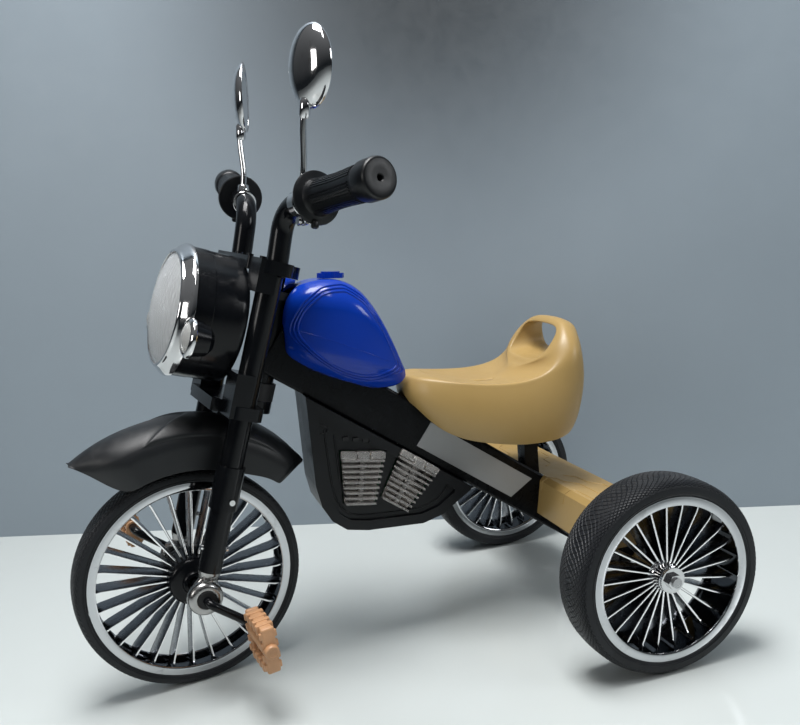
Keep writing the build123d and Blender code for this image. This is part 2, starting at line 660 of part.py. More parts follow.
def lamp_clearance(radius):
    """Round space kept clear of the turn signals round the headlight's axis."""
    return Pos(0, 0, LAMP_Z) * Rot(0, 0, -90) * rod(radius, (0, 0, 0), (SIGNAL_FRONT + 20, 0, 0))


def turn_signal_lenses():
    """Domed amber lenses of the turn signals."""
    lenses = []
    radius = SIGNAL_RADIUS - 5 - SLIP
    for side in ("left", "right"):
        lens = signal(Curve() + [
            dome_arc(SIGNAL_FRONT - 1, radius, 6),
            Line((SIGNAL_FRONT + 5, 0), (SIGNAL_FRONT - 7, 0)),
            Line((SIGNAL_FRONT - 7, 0), (SIGNAL_FRONT - 7, radius)),
            Line((SIGNAL_FRONT - 7, radius), (SIGNAL_FRONT - 1, radius)),
        ], side)
        lenses.append(lens - lamp_clearance(BEZEL_RADIUS + SEAM))
    return group(lenses)


# ---------------------------------------------------------------- fender
def front_fender():
    """Deep arched fender over the front wheel, tapering to a tip at each end."""
    shell = spun(fender_section(0)) - spun(fender_section(FENDER_WALL))
    middle = FENDER_EDGE_RADIUS
    side = Polyline(
        (-174, 125), (-150, 116), (-104, 115), (-92, middle * 0.79), (-60, middle * 0.92), (-20, middle),
        (10, middle), (36, middle + 0.5), (62, 150), (80, 152), (100, 166), (112, 178), (112, 195),
        (60, 250), (-120, 250), (-190, 160), close=True,
    )
    fender = shell & side_plate(make_face(side), -60, 60)
    kept = rod(FENDER_REACH, (0, AXIS_BACK, 0), (0, AXIS_BACK, 300))
    kept += block((-60, -250, 0), (60, AXIS_BACK, 300))
    fender &= kept
    for sign in (-1, 1):
        fender -= rod(LEG_TUBE / 2 + 1.0, (sign * LEG_SPREAD, 0, 100), (sign * LEG_SPREAD, 0, 300))
    return fender


def fender_section(inset):
    """Arched section of the fender, with X across and Y away from the wheel's centre."""
    half = FENDER_HALF_WIDTH - inset
    side = FENDER_CROWN_RADIUS - 32
    arch = Pos(0, side) * Ellipse(half, 32 - inset)
    return arch + Pos(0, (100 + side) / 2) * Rectangle(2 * half, side - 100)


# ---------------------------------------------------------------- frame
def main_beam():
    """Box-section beam from the head tube down to the rear axle tube."""
    head = head_axis_point((HEAD_TUBE_BOTTOM_Z + HEAD_TUBE_TOP_Z) / 2)
    front_y = head.Y
    start = Vector(0, front_y, beam_height_at(front_y))
    plane = Plane(origin=start, x_dir=(1, 0, 0), z_dir=BEAM_DOWN)
    length = (BEAM_REAR - start).length + 8
    outer = RectangleRounded(BEAM_WIDTH, BEAM_HEIGHT, 4)
    inner = RectangleRounded(BEAM_WIDTH - 2 * BEAM_WALL, BEAM_HEIGHT - 2 * BEAM_WALL, 2.5)
    beam = extrude(plane * (outer - inner), amount=length)
    low = head_axis_point(HEAD_TUBE_BOTTOM_Z - 60)
    high = head_axis_point(HEAD_TUBE_TOP_Z + 60)
    beam -= rod(HEAD_TUBE_DIAMETER / 2 + 0.02, low, high)
    front_cut = FORK * block((-60, AXIS_BACK - 100, 0), (60, AXIS_BACK, 600))
    beam -= front_cut
    beam -= rod(AXLE_TUBE_DIAMETER / 2 + 0.02, (-100, 0, REAR_RADIUS), (100, 0, REAR_RADIUS))
    beam -= block((-60, 4, 0), (60, 200, 300))
    return beam.solids().sort_by(SortBy.VOLUME)[-1]


def rear_axle_tube():
    """Cross tube that holds the rear axle."""
    half = AXLE_TUBE_LENGTH / 2
    inner = AXLE_DIAMETER / 2 + SLIP
    return tube(AXLE_TUBE_DIAMETER / 2, inner, (-half, 0, REAR_RADIUS), (half, 0, REAR_RADIUS))


def rear_axle():
    """Steel axle through the cross tube and both rear wheels."""
    half = AXLE_LENGTH / 2
    return rod(AXLE_DIAMETER / 2, (-half, 0, REAR_RADIUS), (half, 0, REAR_RADIUS))


def axle_nuts():
    """Bright cap washer and nut on each end of the axle, and a spacer inside each wheel."""
    solids = []
    out = REAR_TRACK / 2 + REAR_TYRE_WIDTH / 2 - 2.0
    hub_end = REAR_TRACK / 2 + rear_hub_width() / 2
    hole = AXLE_DIAMETER / 2 + 0.02
    centre = (0, REAR_RADIUS)
    cap = tube(15.5, hole, (hub_end + SEAM, *centre), (out, *centre))
    nut_plane = Plane(origin=(out + 0.02, *centre), x_dir=(0, 1, 0), z_dir=(1, 0, 0))
    nut = extrude(nut_plane * RegularPolygon(9.5, 6), amount=6)
    nut -= rod(hole, (out - 5, *centre), (out + 9, *centre))
    inner_end = REAR_TRACK / 2 - rear_hub_width() / 2
    spacer = tube(13, hole, (AXLE_TUBE_LENGTH / 2 + 0.02, *centre), (inner_end - SEAM, *centre))
    for piece in (cap, nut, spacer):
        solids.extend(both_sides(piece))
    return group(solids)


def rear_hub_width():
    """Length of a rear hub on the axle."""
    return REAR_TYRE_WIDTH - 12.0


# ---------------------------------------------------------------- engine casing
def casing_outline(inset):
    """Side outline of the casing under the beam, with Y across and Z up."""
    top_shift = BEAM_HEIGHT / 2 / cos(radians(BEAM_SLOPE)) + SEAM
    front = -361.0
    rear = -150.0
    low = 161.0
    points = [
        (front, beam_height_at(front) - top_shift), (front, 236), (front + 5, 208), (front + 16, 187),
        (front + 34, low + 11), (front + 62, low + 5), (-224, low), (-196, low + 7), (-176, low + 20),
        (rear, beam_height_at(rear) - top_shift),
    ]
    face = make_face(Polyline(*points, close=True))
    if inset:
        face = offset(face, amount=-inset, kind=Kind.INTERSECTION)
    return fillet(face.vertices().filter_by(lambda v: v.Y < 240), 4)


def casing_half(side):
    """One half of the casing: an open tray with a raised border and windows for the lenses."""
    half = CASING_HALF_WIDTH
    body = side_plate(casing_outline(0), SEAM / 2, half)
    body -= side_plate(casing_outline(CASING_WALL), 0, casing_inner_face())
    body -= side_plate(casing_outline(CASING_BORDER), half - CASING_RECESS, half + 5)
    for lens in lens_outlines(1.2):
        body -= side_plate(lens, half - 10, half + 5)
    for place in button_places():
        body -= side_plate(Pos(*place) * RectangleRounded(8.4, 5.4, 1.5), half - 12, half + 8)
    return body if side == "left" else mirror(body, about=Plane.YZ)


def lens_outlines(grow):
    """The two cylinder-shaped lenses as tapered outlines, with Y across and Z up."""
    faces = []
    for centre, lean in LENS_PLACES:
        trapezoid = Polyline(
            (-30 - grow, 34 + grow), (30 + grow, 34 + grow), (21 + grow, -34 - grow), (-21 - grow, -34 - grow),
            close=True,
        )
        faces.append(Pos(*centre) * Rot(0, 0, lean) * make_face(trapezoid))
    return faces


def cylinder_lenses():
    """Clear finned lenses, two on each side of the casing."""
    half = CASING_HALF_WIDTH
    seat = casing_inner_face() - 0.1
    room = casing_outline(CASING_WALL + 0.3)
    solids = []
    for (centre, lean), flange in zip(LENS_PLACES, lens_outlines(3.0)):
        core = Polyline((-26, 34), (26, 34), (17.5, -34), (-17.5, -34), close=True)
        shape = side_plate(flange, seat - 2.4, seat) & side_plate(room, seat - 2.4, seat)
        shape += side_plate(Pos(*centre) * Rot(0, 0, lean) * make_face(core), seat - 2.4, half + 3)
        for index in range(9):
            height = 30 - index * 7.5
            reach = 30 - index * 1.05
            fin = Pos(*centre) * Rot(0, 0, lean) * Pos(0, height) * Rectangle(2 * reach - 1.5, 4.0)
            shape += side_plate(fin, half - 8, half + 7)
        solids.extend(both_sides(shape))
    return group(solids)


def button_places():
    """Centres of the three push buttons, as Y and Z."""
    return [(-316 + 13 * index, 291 - 3.0 * index) for index in range(3)]


def push_button(index):
    """One push button on the left of the casing, standing proud by its travel."""
    skirt_front = casing_inner_face() - 0.05
    back = skirt_front - 2.4
    place = Pos(*button_places()[index])
    cap = side_plate(place * RectangleRounded(7.8, 4.8, 1.2), back, skirt_front + CASING_WALL + BUTTON_PROUD)
    return cap + side_plate(place * RectangleRounded(10, 7, 1.2), back, skirt_front)


def light_board():
    """Circuit board behind the lenses, with its sound chip and light-emitting diodes."""
    board = block((4, -345, 180), (5.6, -180, 330))
    board += block((5.5, -300, 205), (9, -286, 219))
    for y, z in ((-310, 245), (-292, 225), (-250, 235), (-236, 212)):
        board += rod(2.5, (5.5, y, z), (13, y, z))
    for place in button_places():
        low = (5.5, place[0] - 3, place[1] - 3)
        board += block(low, (CASING_HALF_WIDTH - 9 - 2.2, place[0] + 3, place[1] + 3))
    return board & side_plate(casing_outline(CASING_WALL + 0.8), 0, CASING_HALF_WIDTH)


def battery_box():
    """Battery box with two round cells, on the right of the casing."""
    return block((-24, -298, 169), (-3, -230, 199))


def speaker():
    """Small round speaker behind the right half of the casing."""
    face = casing_inner_face() - 0.1
    place = (-336, 297)
    return rod(17, (-face, *place), (8 - face, *place)) + rod(10, (7.9 - face, *place), (15 - face, *place))


def casing_inner_face():
    """Inside of a casing half's outer wall, from the middle plane."""
    return CASING_HALF_WIDTH - CASING_WALL - CASING_RECESS


# ---------------------------------------------------------------- tank and seat
def tank_body(inset):
    """Tank lofted through rounded cross-sections from its front to its tail."""
    stations = [
        (-376, 22, 412, 444, 12), (-368, 34, 398, 472, 18), (-352, 44, 386, 486, 26), (-328, 53, 372, 491, 34),
        (-300, 56, 359, 488, 38), (-278, 54, 350, 475, 38), (-259, 49, 346, 449, 34), (-245, 43, 346, 419, 28),
        (-235, 36, 349, 391, 18), (-228, 28, 356, 370, 6),
    ]
    if inset:
        stations = stations[1:-1]
    return loft([
        upright_section(y, half - inset, low + inset, high - inset, corner - inset * 0.6)
        for y, half, low, high, corner in stations
    ])


def tank_shell():
    """Hollow tank astride the beam, notched round the head tube."""
    body = tank_body(0) - tank_body(TANK_WALL + 1)
    body -= beam_space(0.5)
    body -= rod(BUSH_FLANGE_DIAMETER / 2 + 1.5, head_axis_point(150), head_axis_point(460))
    body -= FORK * block((-80, AXIS_BACK - 120, 0), (80, AXIS_BACK + 2, 600))
    return body.solids().sort_by(SortBy.VOLUME)[-1]


def beam_space(clearance):
    """The beam's outside grown by a clearance, for cutting what sits on it."""
    start = Vector(0, -440, beam_height_at(-440))
    plane = Plane(origin=start, x_dir=(1, 0, 0), z_dir=BEAM_DOWN)
    section = Rectangle(BEAM_WIDTH + 2 * clearance, BEAM_HEIGHT + 2 * clearance)
    return extrude(plane * section, amount=600)


def fuel_cap():
    """Round cap on the tank's crown with small grip knobs."""
    place = Pos(0, -306, 490.6) * Rot(-5, 0, 0)
    cap = extrude(Circle(CAP_RADIUS), amount=5)
    cap += extrude(Pos(0, 0, 4.9) * Circle(CAP_RADIUS - 4), amount=3)
    for index in range(8):
        cap += Rot(0, 0, 45 * index) * Pos(CAP_RADIUS - 1, 0, 3) * Cylinder(2.2, 6)
    return place * cap


def upright_section(y, half, low, high, corner):
    """One rounded upright cross-section, square to Y."""
    plane = Plane(origin=(0, y, (low + high) / 2), x_dir=(1, 0, 0), z_dir=(0, -1, 0))
    return plane * RectangleRounded(2 * half, high - low, corner)


def seat_body(inset):
    """Saddle lofted through cross-sections from the nose to the back."""
    stations = [
        (-224, 32, 314, 361, 14), (-210, 47, 287, 359, 18), (-190, 60, 272, 354, 20), (-150, 75, 259, 344, 23),
        (-100, 85, 251, 337, 25), (-50, 87, 249, 337, 25), (-10, 80, 256, 344, 25), (14, 62, 278, 346, 20),
    ]
    if inset:
        stations = [(y * 0.965 - 4, half, low - 40, high, corner) for y, half, low, high, corner in stations]
    return loft([
        upright_section(y, half - inset, low, high - inset, corner - inset)
        for y, half, low, high, corner in stations
    ])


def seat_hoop():
    """Raised back of the saddle with a grab hole through it and flanks that sweep forwards."""
    side = Polyline(
        (-106, 326), (-80, 336), (-56, 350), (-37, 373), (-24, 396), (-11, HOOP_HEIGHT - 3), (0, HOOP_HEIGHT),
        (9, HOOP_HEIGHT - 3), (15, 396), (16, 360), (14, 326), close=True,
    )
    sweep_back = side_plate(make_face(side), -SEAT_HALF_WIDTH, SEAT_HALF_WIDTH)
    rear = Plane(origin=(0, 40, 0), x_dir=(1, 0, 0), z_dir=(0, -1, 0))
    arch = Pos(0, HOOP_HEIGHT - 93) * RectangleRounded(2 * SEAT_HALF_WIDTH - 8, 186, 52)
    hole = Pos(0, HOOP_HEIGHT - 32.5) * RectangleRounded(112, 41, 19)
    pan = Pos(0, HOOP_HEIGHT - 32) * RectangleRounded(124, 84, 24)
    hoop = sweep_back & extrude(rear * arch, amount=200)
    hoop -= extrude(rear * hole, amount=200)
    return hoop - extrude(rear.offset(56) * pan, amount=200)


def seat_shell():
    """Blow-moulded saddle, open underneath, with its grab hoop and a pad for the post."""
    body = seat_body(0) - seat_body(SEAT_WALL)
    body += seat_hoop()
    body += block((-42, SEAT_POST_Y - 37, 326), (42, SEAT_POST_Y + 37, 334.5))
    body -= beam_space(1.5)
    return body.solids().sort_by(SortBy.VOLUME)[-1]


def seat_post():
    """Rectangular steel post from the beam to a plate under the seat."""
    half = SEAT_POST_WIDTH / 2
    top = 326 - 0.02
    post = block((-12, SEAT_POST_Y - half, 150), (12, SEAT_POST_Y + half, top))
    post -= block((-10, SEAT_POST_Y - half + 2, 140), (10, SEAT_POST_Y + half - 2, top - 3))
    post += block((-40, SEAT_POST_Y - 34, top - 3), (40, SEAT_POST_Y + 34, top))
    post -= beam_space(0.02)
    return post.solids().sort_by(SortBy.VOLUME)[-1]


def side_labels():
    """Bare bright plates on both sides of the beam."""
    centre = Vector(0, -139, beam_height_at(-139))
    plane = Plane(
        origin=centre + Vector(BEAM_WIDTH / 2 + 0.02, 0, 0), x_dir=BEAM_DOWN, z_dir=(1, 0, 0)
    )
    half = LABEL_LENGTH / 2
    outline = make_face(Polyline(
        (-half - 6, -LABEL_HEIGHT / 2), (half - 6, -LABEL_HEIGHT / 2), (half + 8, LABEL_HEIGHT / 2),
        (-half - 5, LABEL_HEIGHT / 2), close=True,
    ))
    return group(both_sides(extrude(plane * outline, amount=LABEL_THICKNESS)))


# ---------------------------------------------------------------- rear cover
def cover_outline(inset):
    """Cross-section of the rear cover, with Y across and Z up."""
    return make_face(Polyline(
        (-52 + inset, 138), (-45 + inset, 184), (-39 + inset * 0.8, 191 - inset * 0.7),
        (34 - inset * 0.5, 181 - inset),
        (44 - inset, 174 - inset * 0.7), (49 - inset, 150), (49 - inset, 138), close=True,
    ))


def rear_cover():
    """Moulded cover over the rear axle, open underneath, notched for the beam and the post."""
    half = COVER_LENGTH / 2
    plan = make_face(Polyline(
        (-half, -60), (half, -60), (half, 32), (half - 56, 52), (56 - half, 52), (-half, 32), close=True,
    ))
    body = side_plate(cover_outline(0), -half, half) & extrude(Pos(0, 0, 100) * plan, amount=150)
    inner = side_plate(cover_outline(COVER_WALL), -half + COVER_WALL, half - COVER_WALL)
    inner_plan = offset(plan, amount=-COVER_WALL, kind=Kind.INTERSECTION)
    body -= inner & extrude(Pos(0, 0, 100) * inner_plan, amount=150)
    body -= beam_space(0.6)
    post_half = SEAT_POST_WIDTH / 2 + 0.6
    body -= block((-12.6, SEAT_POST_Y - post_half, 130), (12.6, SEAT_POST_Y + post_half, 300))
    return body.solids().sort_by(SortBy.VOLUME)[-1]


# ---------------------------------------------------------------- assembly
def rear_wheel_place(side):
    """Centre of a rear wheel."""
    return Pos(side_sign(side) * REAR_TRACK / 2, 0, REAR_RADIUS)


def steered_pieces():
    """All pieces that turn with the handlebar, in the fork frame."""
    holes = screw_holes()
    pieces = {
        "steerer": steerer(),
        "upper_crown": upper_crown(),
        "lower_crown": lower_crown(),
        "crown_screws": crown_screws(),
        "fork_legs": fork_legs(),
        "lower_fork_tubes": group([solid - holes for solid in lower_fork_tubes().solids()]),
        "fork_collars": group([solid - holes for solid in fork_collars().solids()]),
        "crank_bushes": crank_bushes(),
        "steering_fasteners": steering_fasteners(),
        "headlight_shell": headlight_shell(),
        "lamp_bezels": lamp_bezels(),
        "headlight_lens": headlight_lens(),
        "headlight_reflector": headlight_reflector(),
        "turn_signal_housings": turn_signal_housings(),
        "turn_signal_lenses": turn_signal_lenses(),
        "front_fender": front_fender(),
        "mirror_clamps": mirror_clamps(),
    }
    left = {
        "dropout": dropout() - holes,
        "handlebar": handlebar(),
        "grip": grip(),
    }
    for name, shape in left.items():
        pieces[name + "_left"] = shape
        pieces[name + "_right"] = mirror(shape, about=Plane.YZ)
    for side, height in MIRROR_STEM_HEIGHTS.items():
        for name, make in (("stem", mirror_stem), ("shell", mirror_shell), ("glass", mirror_glass)):
            shape = make(height)
            pieces["mirror_" + name + "_" + side] = shape if side == "left" else mirror(shape, about=Plane.YZ)
    pieces["front_tyre"] = tyre(FRONT_RADIUS, FRONT_TYRE_WIDTH, FRONT_RIM_RADIUS, 6.0)
    pieces["front_rim"] = rim(
        FRONT_RIM_RADIUS, FRONT_TYRE_WIDTH, FRONT_HUB_RADIUS, FRONT_HUB_WIDTH, CRANK_ROD / 2 + 0.02,
        FRONT_SPOKES, 30.0,
    )
    pieces["crank"] = crank()
    for side in ("left", "right"):
        block_pedal = pedal() if side == "left" else mirror(pedal(), about=Plane.YZ)
        pieces["pedal_" + side] = Pos(*pedal_place(side)) * Rot(RAKE + PEDAL_LEAN, 0, 0) * block_pedal
    return pieces


def frame_pieces():
    """All pieces that stay with the frame, and the rear wheels, in the bench frame."""
    pieces = {
        "head_tube": FORK * head_tube(),
        "head_bushes": FORK * head_bushes(),
        "main_beam": main_beam(),
        "rear_axle_tube": rear_axle_tube(),
        "rear_axle": rear_axle(),
        "axle_nuts": axle_nuts(),
        "casing_left": casing_half("left"),
        "casing_right": casing_half("right"),
        "cylinder_lenses": cylinder_lenses(),
        "light_board": light_board(),
        "battery_box": battery_box(),
        "speaker": speaker(),
        "tank_shell": tank_shell(),
        "fuel_cap": fuel_cap(),
        "seat_shell": seat_shell(),
        "seat_post": seat_post(),
        "side_labels": side_labels(),
        "rear_cover": rear_cover(),
    }
    for index, name in enumerate(("horn", "music", "light")):
        pieces["button_" + name] = push_button(index)
    wheel_rim = rim(
        REAR_RIM_RADIUS, REAR_TYRE_WIDTH, REAR_HUB_RADIUS, rear_hub_width(), AXLE_DIAMETER / 2 + RUNNING,
        REAR_SPOKES, 30.0,
    )
    wheel_tyre = tyre(REAR_RADIUS, REAR_TYRE_WIDTH, REAR_RIM_RADIUS, 8.0)
    for side in ("left", "right"):
        pieces["rear_tyre_" + side] = rear_wheel_place(side) * wheel_tyre
        pieces["rear_rim_" + side] = rear_wheel_place(side) * wheel_rim
    return pieces


def assembly():
    """Every piece by name, with the footprint's middle at the origin and the ground at Z = 0."""
    pieces = frame_pieces()
    for name, shape in steered_pieces().items():
        pieces[name] = FORK_TURNED * shape
    boxes = [shape.bounding_box() for shape in pieces.values()]
    low = [min(tuple(box.min)[axis] for box in boxes) for axis in range(3)]
    high = [max(tuple(box.max)[axis] for box in boxes) for axis in range(3)]
    shift = Pos(-(low[0] + high[0]) / 2, -(low[1] + high[1]) / 2, -low[2])
    return {name: shift * shape for name, shape in pieces.items()}, shift


if __name__ == "__main__":
    os.makedirs("parts", exist_ok=True)
    shapes, moved = assembly()
    for node, solid in shapes.items():
        export_step(solid, "parts/" + node + ".step")
    print(len(shapes), "nodes; bench frame moved by", moved.position)
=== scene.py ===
"""Looks of a child's ride-on pedal tricycle in cruiser-motorcycle style, built round its frame.

Sizes are in millimetres and are scaled to metres when a piece is finished. Pieces that turn
with the handlebar are drawn in the fork's frame: X along the front axle, Y backwards and
Z up the steering axis, from the middle of the front wheel. The others are drawn in the bench
frame: X to the rider's left, Y backwards from the rear axle and Z up from the ground.
"""
import json
import math

import bmesh
import bpy
from bpy.props import FloatProperty, FloatVectorProperty, PointerProperty
from mathutils import Matrix, Vector
from mathutils.bvhtree import BVHTree


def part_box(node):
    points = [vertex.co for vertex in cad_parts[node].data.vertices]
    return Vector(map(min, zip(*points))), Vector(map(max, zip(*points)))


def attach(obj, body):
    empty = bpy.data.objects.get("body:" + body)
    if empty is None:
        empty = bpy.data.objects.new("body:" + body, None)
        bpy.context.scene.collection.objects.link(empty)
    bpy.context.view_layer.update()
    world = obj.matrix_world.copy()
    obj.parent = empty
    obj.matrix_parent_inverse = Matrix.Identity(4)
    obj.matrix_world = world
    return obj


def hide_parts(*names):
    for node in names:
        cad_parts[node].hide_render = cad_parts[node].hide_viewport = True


bl_info = {
    "name": "Pedal Tricycle Looks",
    "version": (1, 0, 0),
    "blender": (4, 5, 0),
    "location": "View3D > Sidebar > Tricycle",
    "description": "Builds the finished pieces and materials of a ride-on pedal tricycle",
    "category": "Object",
}

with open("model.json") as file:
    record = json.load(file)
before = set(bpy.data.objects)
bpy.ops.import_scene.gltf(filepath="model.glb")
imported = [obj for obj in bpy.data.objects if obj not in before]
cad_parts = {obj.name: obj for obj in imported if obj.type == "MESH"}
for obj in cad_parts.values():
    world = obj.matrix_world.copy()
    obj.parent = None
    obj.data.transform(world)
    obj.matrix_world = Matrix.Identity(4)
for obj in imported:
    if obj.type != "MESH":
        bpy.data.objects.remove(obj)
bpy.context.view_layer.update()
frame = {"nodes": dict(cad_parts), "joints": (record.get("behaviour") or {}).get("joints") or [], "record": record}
JOINTS = {joint["name"]: joint for joint in frame["joints"]}
MILLIMETRE = Matrix.Scale(0.001, 4)
TURN = 2 * math.pi


def middle_of(node):
    """Middle of a frame node's box, in metres."""
    low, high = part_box(node)
    return (low + high) / 2


def bench_frame():
    """Bench frame in millimetres: over the rear axle, on the ground."""
    return Matrix.Translation((0, middle_of("rear_tyre_left").y, 0)) @ MILLIMETRE


def fork_frame():
    """Fork frame in millimetres, from the front wheel's and the steering's axes."""
    across = Vector(JOINTS["front_wheel_spin"]["axis"]).normalized()
    upwards = Vector(JOINTS["steering_turn"]["axis"]).normalized()
    turned = Matrix((across, upwards.cross(across), upwards)).transposed().to_4x4()
    turned.translation = Vector(JOINTS["front_wheel_spin"]["pos_m"])
    return turned @ MILLIMETRE


BENCH = bench_frame()
FORK = fork_frame()


# ------------------------------------------------------------------ sizes and colours
def swatch(name, description, red, green, blue):
    """A colour setting of the sidebar."""
    return FloatVectorProperty(name=name, description=description, subtype="COLOR",
                               size=3, min=0, max=1, default=(red, green, blue))


class TricycleColours(bpy.types.PropertyGroup):
    """Colours of the finished pieces."""

    tank: swatch("Tank", "Gloss blue of the tank and its cap", 0.004, 0.042, 0.40)
    seat: swatch("Saddle", "Tan of the saddle and the rear cover", 0.40, 0.265, 0.095)
    pedal: swatch("Pedals", "Copper tan of the pedals", 0.56, 0.30, 0.15)
    paint: swatch("Frame paint", "Black of the painted steel", 0.0035, 0.004, 0.005)
    plastic: swatch("Black plastic", "Black of the moulded pieces", 0.003, 0.0035, 0.0045)
    fender: swatch("Fender", "Satin black of the fender", 0.007, 0.008, 0.0095)
    tyre: swatch("Tyres", "Black of the foam tyres", 0.006, 0.007, 0.009)
    floor: swatch("Floor", "Pale floor", 0.60, 0.64, 0.63)
    wall: swatch("Backdrop", "Grey wall behind", 0.265, 0.315, 0.36)


class TricycleSizes(bpy.types.PropertyGroup):
    """Settings of the camera's place, turn and lens that a user may want to change."""

    eye_reach: FloatProperty(
        name="Camera reach", description="Camera's distance to the rider's left of the middle",
        default=1.0771, unit="LENGTH")
    eye_forward: FloatProperty(
        name="Camera forward", description="Camera's distance in front of the middle",
        default=0.2740, unit="LENGTH")
    eye_height: FloatProperty(
        name="Camera height", description="Camera's height over the ground",
        default=0.5601, unit="LENGTH")
    eye_turn: FloatVectorProperty(
        name="Camera turn", description="Camera's swing to the rear, dip and tilt",
        subtype="EULER", size=3, default=(0.28519, 0.23058, -0.09168))
    lens: FloatProperty(
        name="Lens", description="Focal length in millimetres", default=39.232, min=10)
    lens_rise: FloatProperty(
        name="Lens rise", description="Upward shift of the view, in widths", default=0.0712)


def colour(name):
    """One of the colours set in the sidebar, with alpha."""
    return (*getattr(bpy.context.scene.tricycle_colours, name), 1.0)


# ------------------------------------------------------------------ shader node groups
def socket(tree, name, kind, default=None, out=False):
    """Adds a named socket to a node group."""
    made = tree.interface.new_socket(
        name, in_out="OUTPUT" if out else "INPUT", socket_type="NodeSocket" + kind)
    if default is not None:
        made.default_value = default
    return made


def shader_node(tree, kind, **settings):
    """Adds a node and sets its properties, and its inputs where a name is one of theirs."""
    made = tree.nodes.new("ShaderNode" + kind)
    for name, value in settings.items():
        if hasattr(made, name):
            setattr(made, name, value)
        else:
            made.inputs[name.replace("_", " ")].default_value = value
    return made


def finish_group(name, inputs):
    """A new node group with its inputs and the three outputs that every finish has."""
    tree = bpy.data.node_groups.new(name, "ShaderNodeTree")
    for label, default in inputs:
        socket(tree, label, "Float" if isinstance(default, float) else "Color", default)
    for label, kind in (("Colour", "Color"), ("Roughness", "Float"), ("Height", "Float")):
        socket(tree, label, kind, out=True)
    return tree


def moulded_group():
    """Colour drift, grain and settled dust of moulded or painted surfaces."""
    name = "Moulded Finish"
    if name in bpy.data.node_groups:
        return bpy.data.node_groups[name]
    tree = finish_group(name, (
        ("Colour", (0.5, 0.5, 0.5, 1)), ("Drift Colour", (0.4, 0.4, 0.4, 1)), ("Drift Scale", 9.0),
        ("Grain Scale", 900.0), ("Smoothest", 0.25), ("Roughest", 0.4), ("Dust", 0.1)))
    link = tree.links.new
    given = tree.nodes.new("NodeGroupInput")
    made = tree.nodes.new("NodeGroupOutput")
    place = shader_node(tree, "TexCoord")
    drift = shader_node(tree, "TexNoise", Detail=5.0, Roughness=0.6)
    grain = shader_node(tree, "TexNoise", Detail=3.0, Roughness=0.55)
    smear = shader_node(tree, "TexNoise", Scale=31.0, Detail=6.0, Roughness=0.7, Distortion=0.6)
    link(place.outputs["Object"], drift.inputs["Vector"])
    link(place.outputs["Object"], grain.inputs["Vector"])
    link(place.outputs["Object"], smear.inputs["Vector"])
    link(given.outputs["Drift Scale"], drift.inputs["Scale"])
    link(given.outputs["Grain Scale"], grain.inputs["Scale"])
    spread = shader_node(tree, "MapRange", From_Min=0.32, From_Max=0.68)
    link(drift.outputs["Fac"], spread.inputs["Value"])
    tint = shader_node(tree, "Mix", data_type="RGBA")
    link(spread.outputs["Result"], tint.inputs[0])
    link(given.outputs["Colour"], tint.inputs[6])
    link(given.outputs["Drift Colour"], tint.inputs[7])
    surface = shader_node(tree, "NewGeometry")
    upward = shader_node(tree, "SeparateXYZ")
    link(surface.outputs["Normal"], upward.inputs["Vector"])
    lying = shader_node(tree, "MapRange", From_Min=0.35, From_Max=1.0)
    link(upward.outputs["Z"], lying.inputs["Value"])
    specks = shader_node(tree, "MapRange", From_Min=0.45, From_Max=0.75)
    link(smear.outputs["Fac"], specks.inputs["Value"])
    settled = shader_node(tree, "Math", operation="MULTIPLY")
    link(lying.outputs["Result"], settled.inputs[0])
    link(specks.outputs["Result"], settled.inputs[1])
    dusty = shader_node(tree, "Math", operation="MULTIPLY")
    link(settled.outputs["Value"], dusty.inputs[0])
    link(given.outputs["Dust"], dusty.inputs[1])
    covered = shader_node(tree, "Mix", data_type="RGBA")
    covered.inputs[7].default_value = (0.42, 0.42, 0.41, 1)
    link(dusty.outputs["Value"], covered.inputs[0])
    link(tint.outputs[2], covered.inputs[6])
    link(covered.outputs[2], made.inputs["Colour"])
    rough = shader_node(tree, "MapRange", From_Min=0.3, From_Max=0.7)
    link(smear.outputs["Fac"], rough.inputs["Value"])
    link(given.outputs["Smoothest"], rough.inputs["To Min"])
    link(given.outputs["Roughest"], rough.inputs["To Max"])
    rougher = shader_node(tree, "Math", operation="ADD")
    link(rough.outputs["Result"], rougher.inputs[0])
    link(dusty.outputs["Value"], rougher.inputs[1])
    link(rougher.outputs["Value"], made.inputs["Roughness"])
    link(grain.outputs["Fac"], made.inputs["Height"])
    return tree


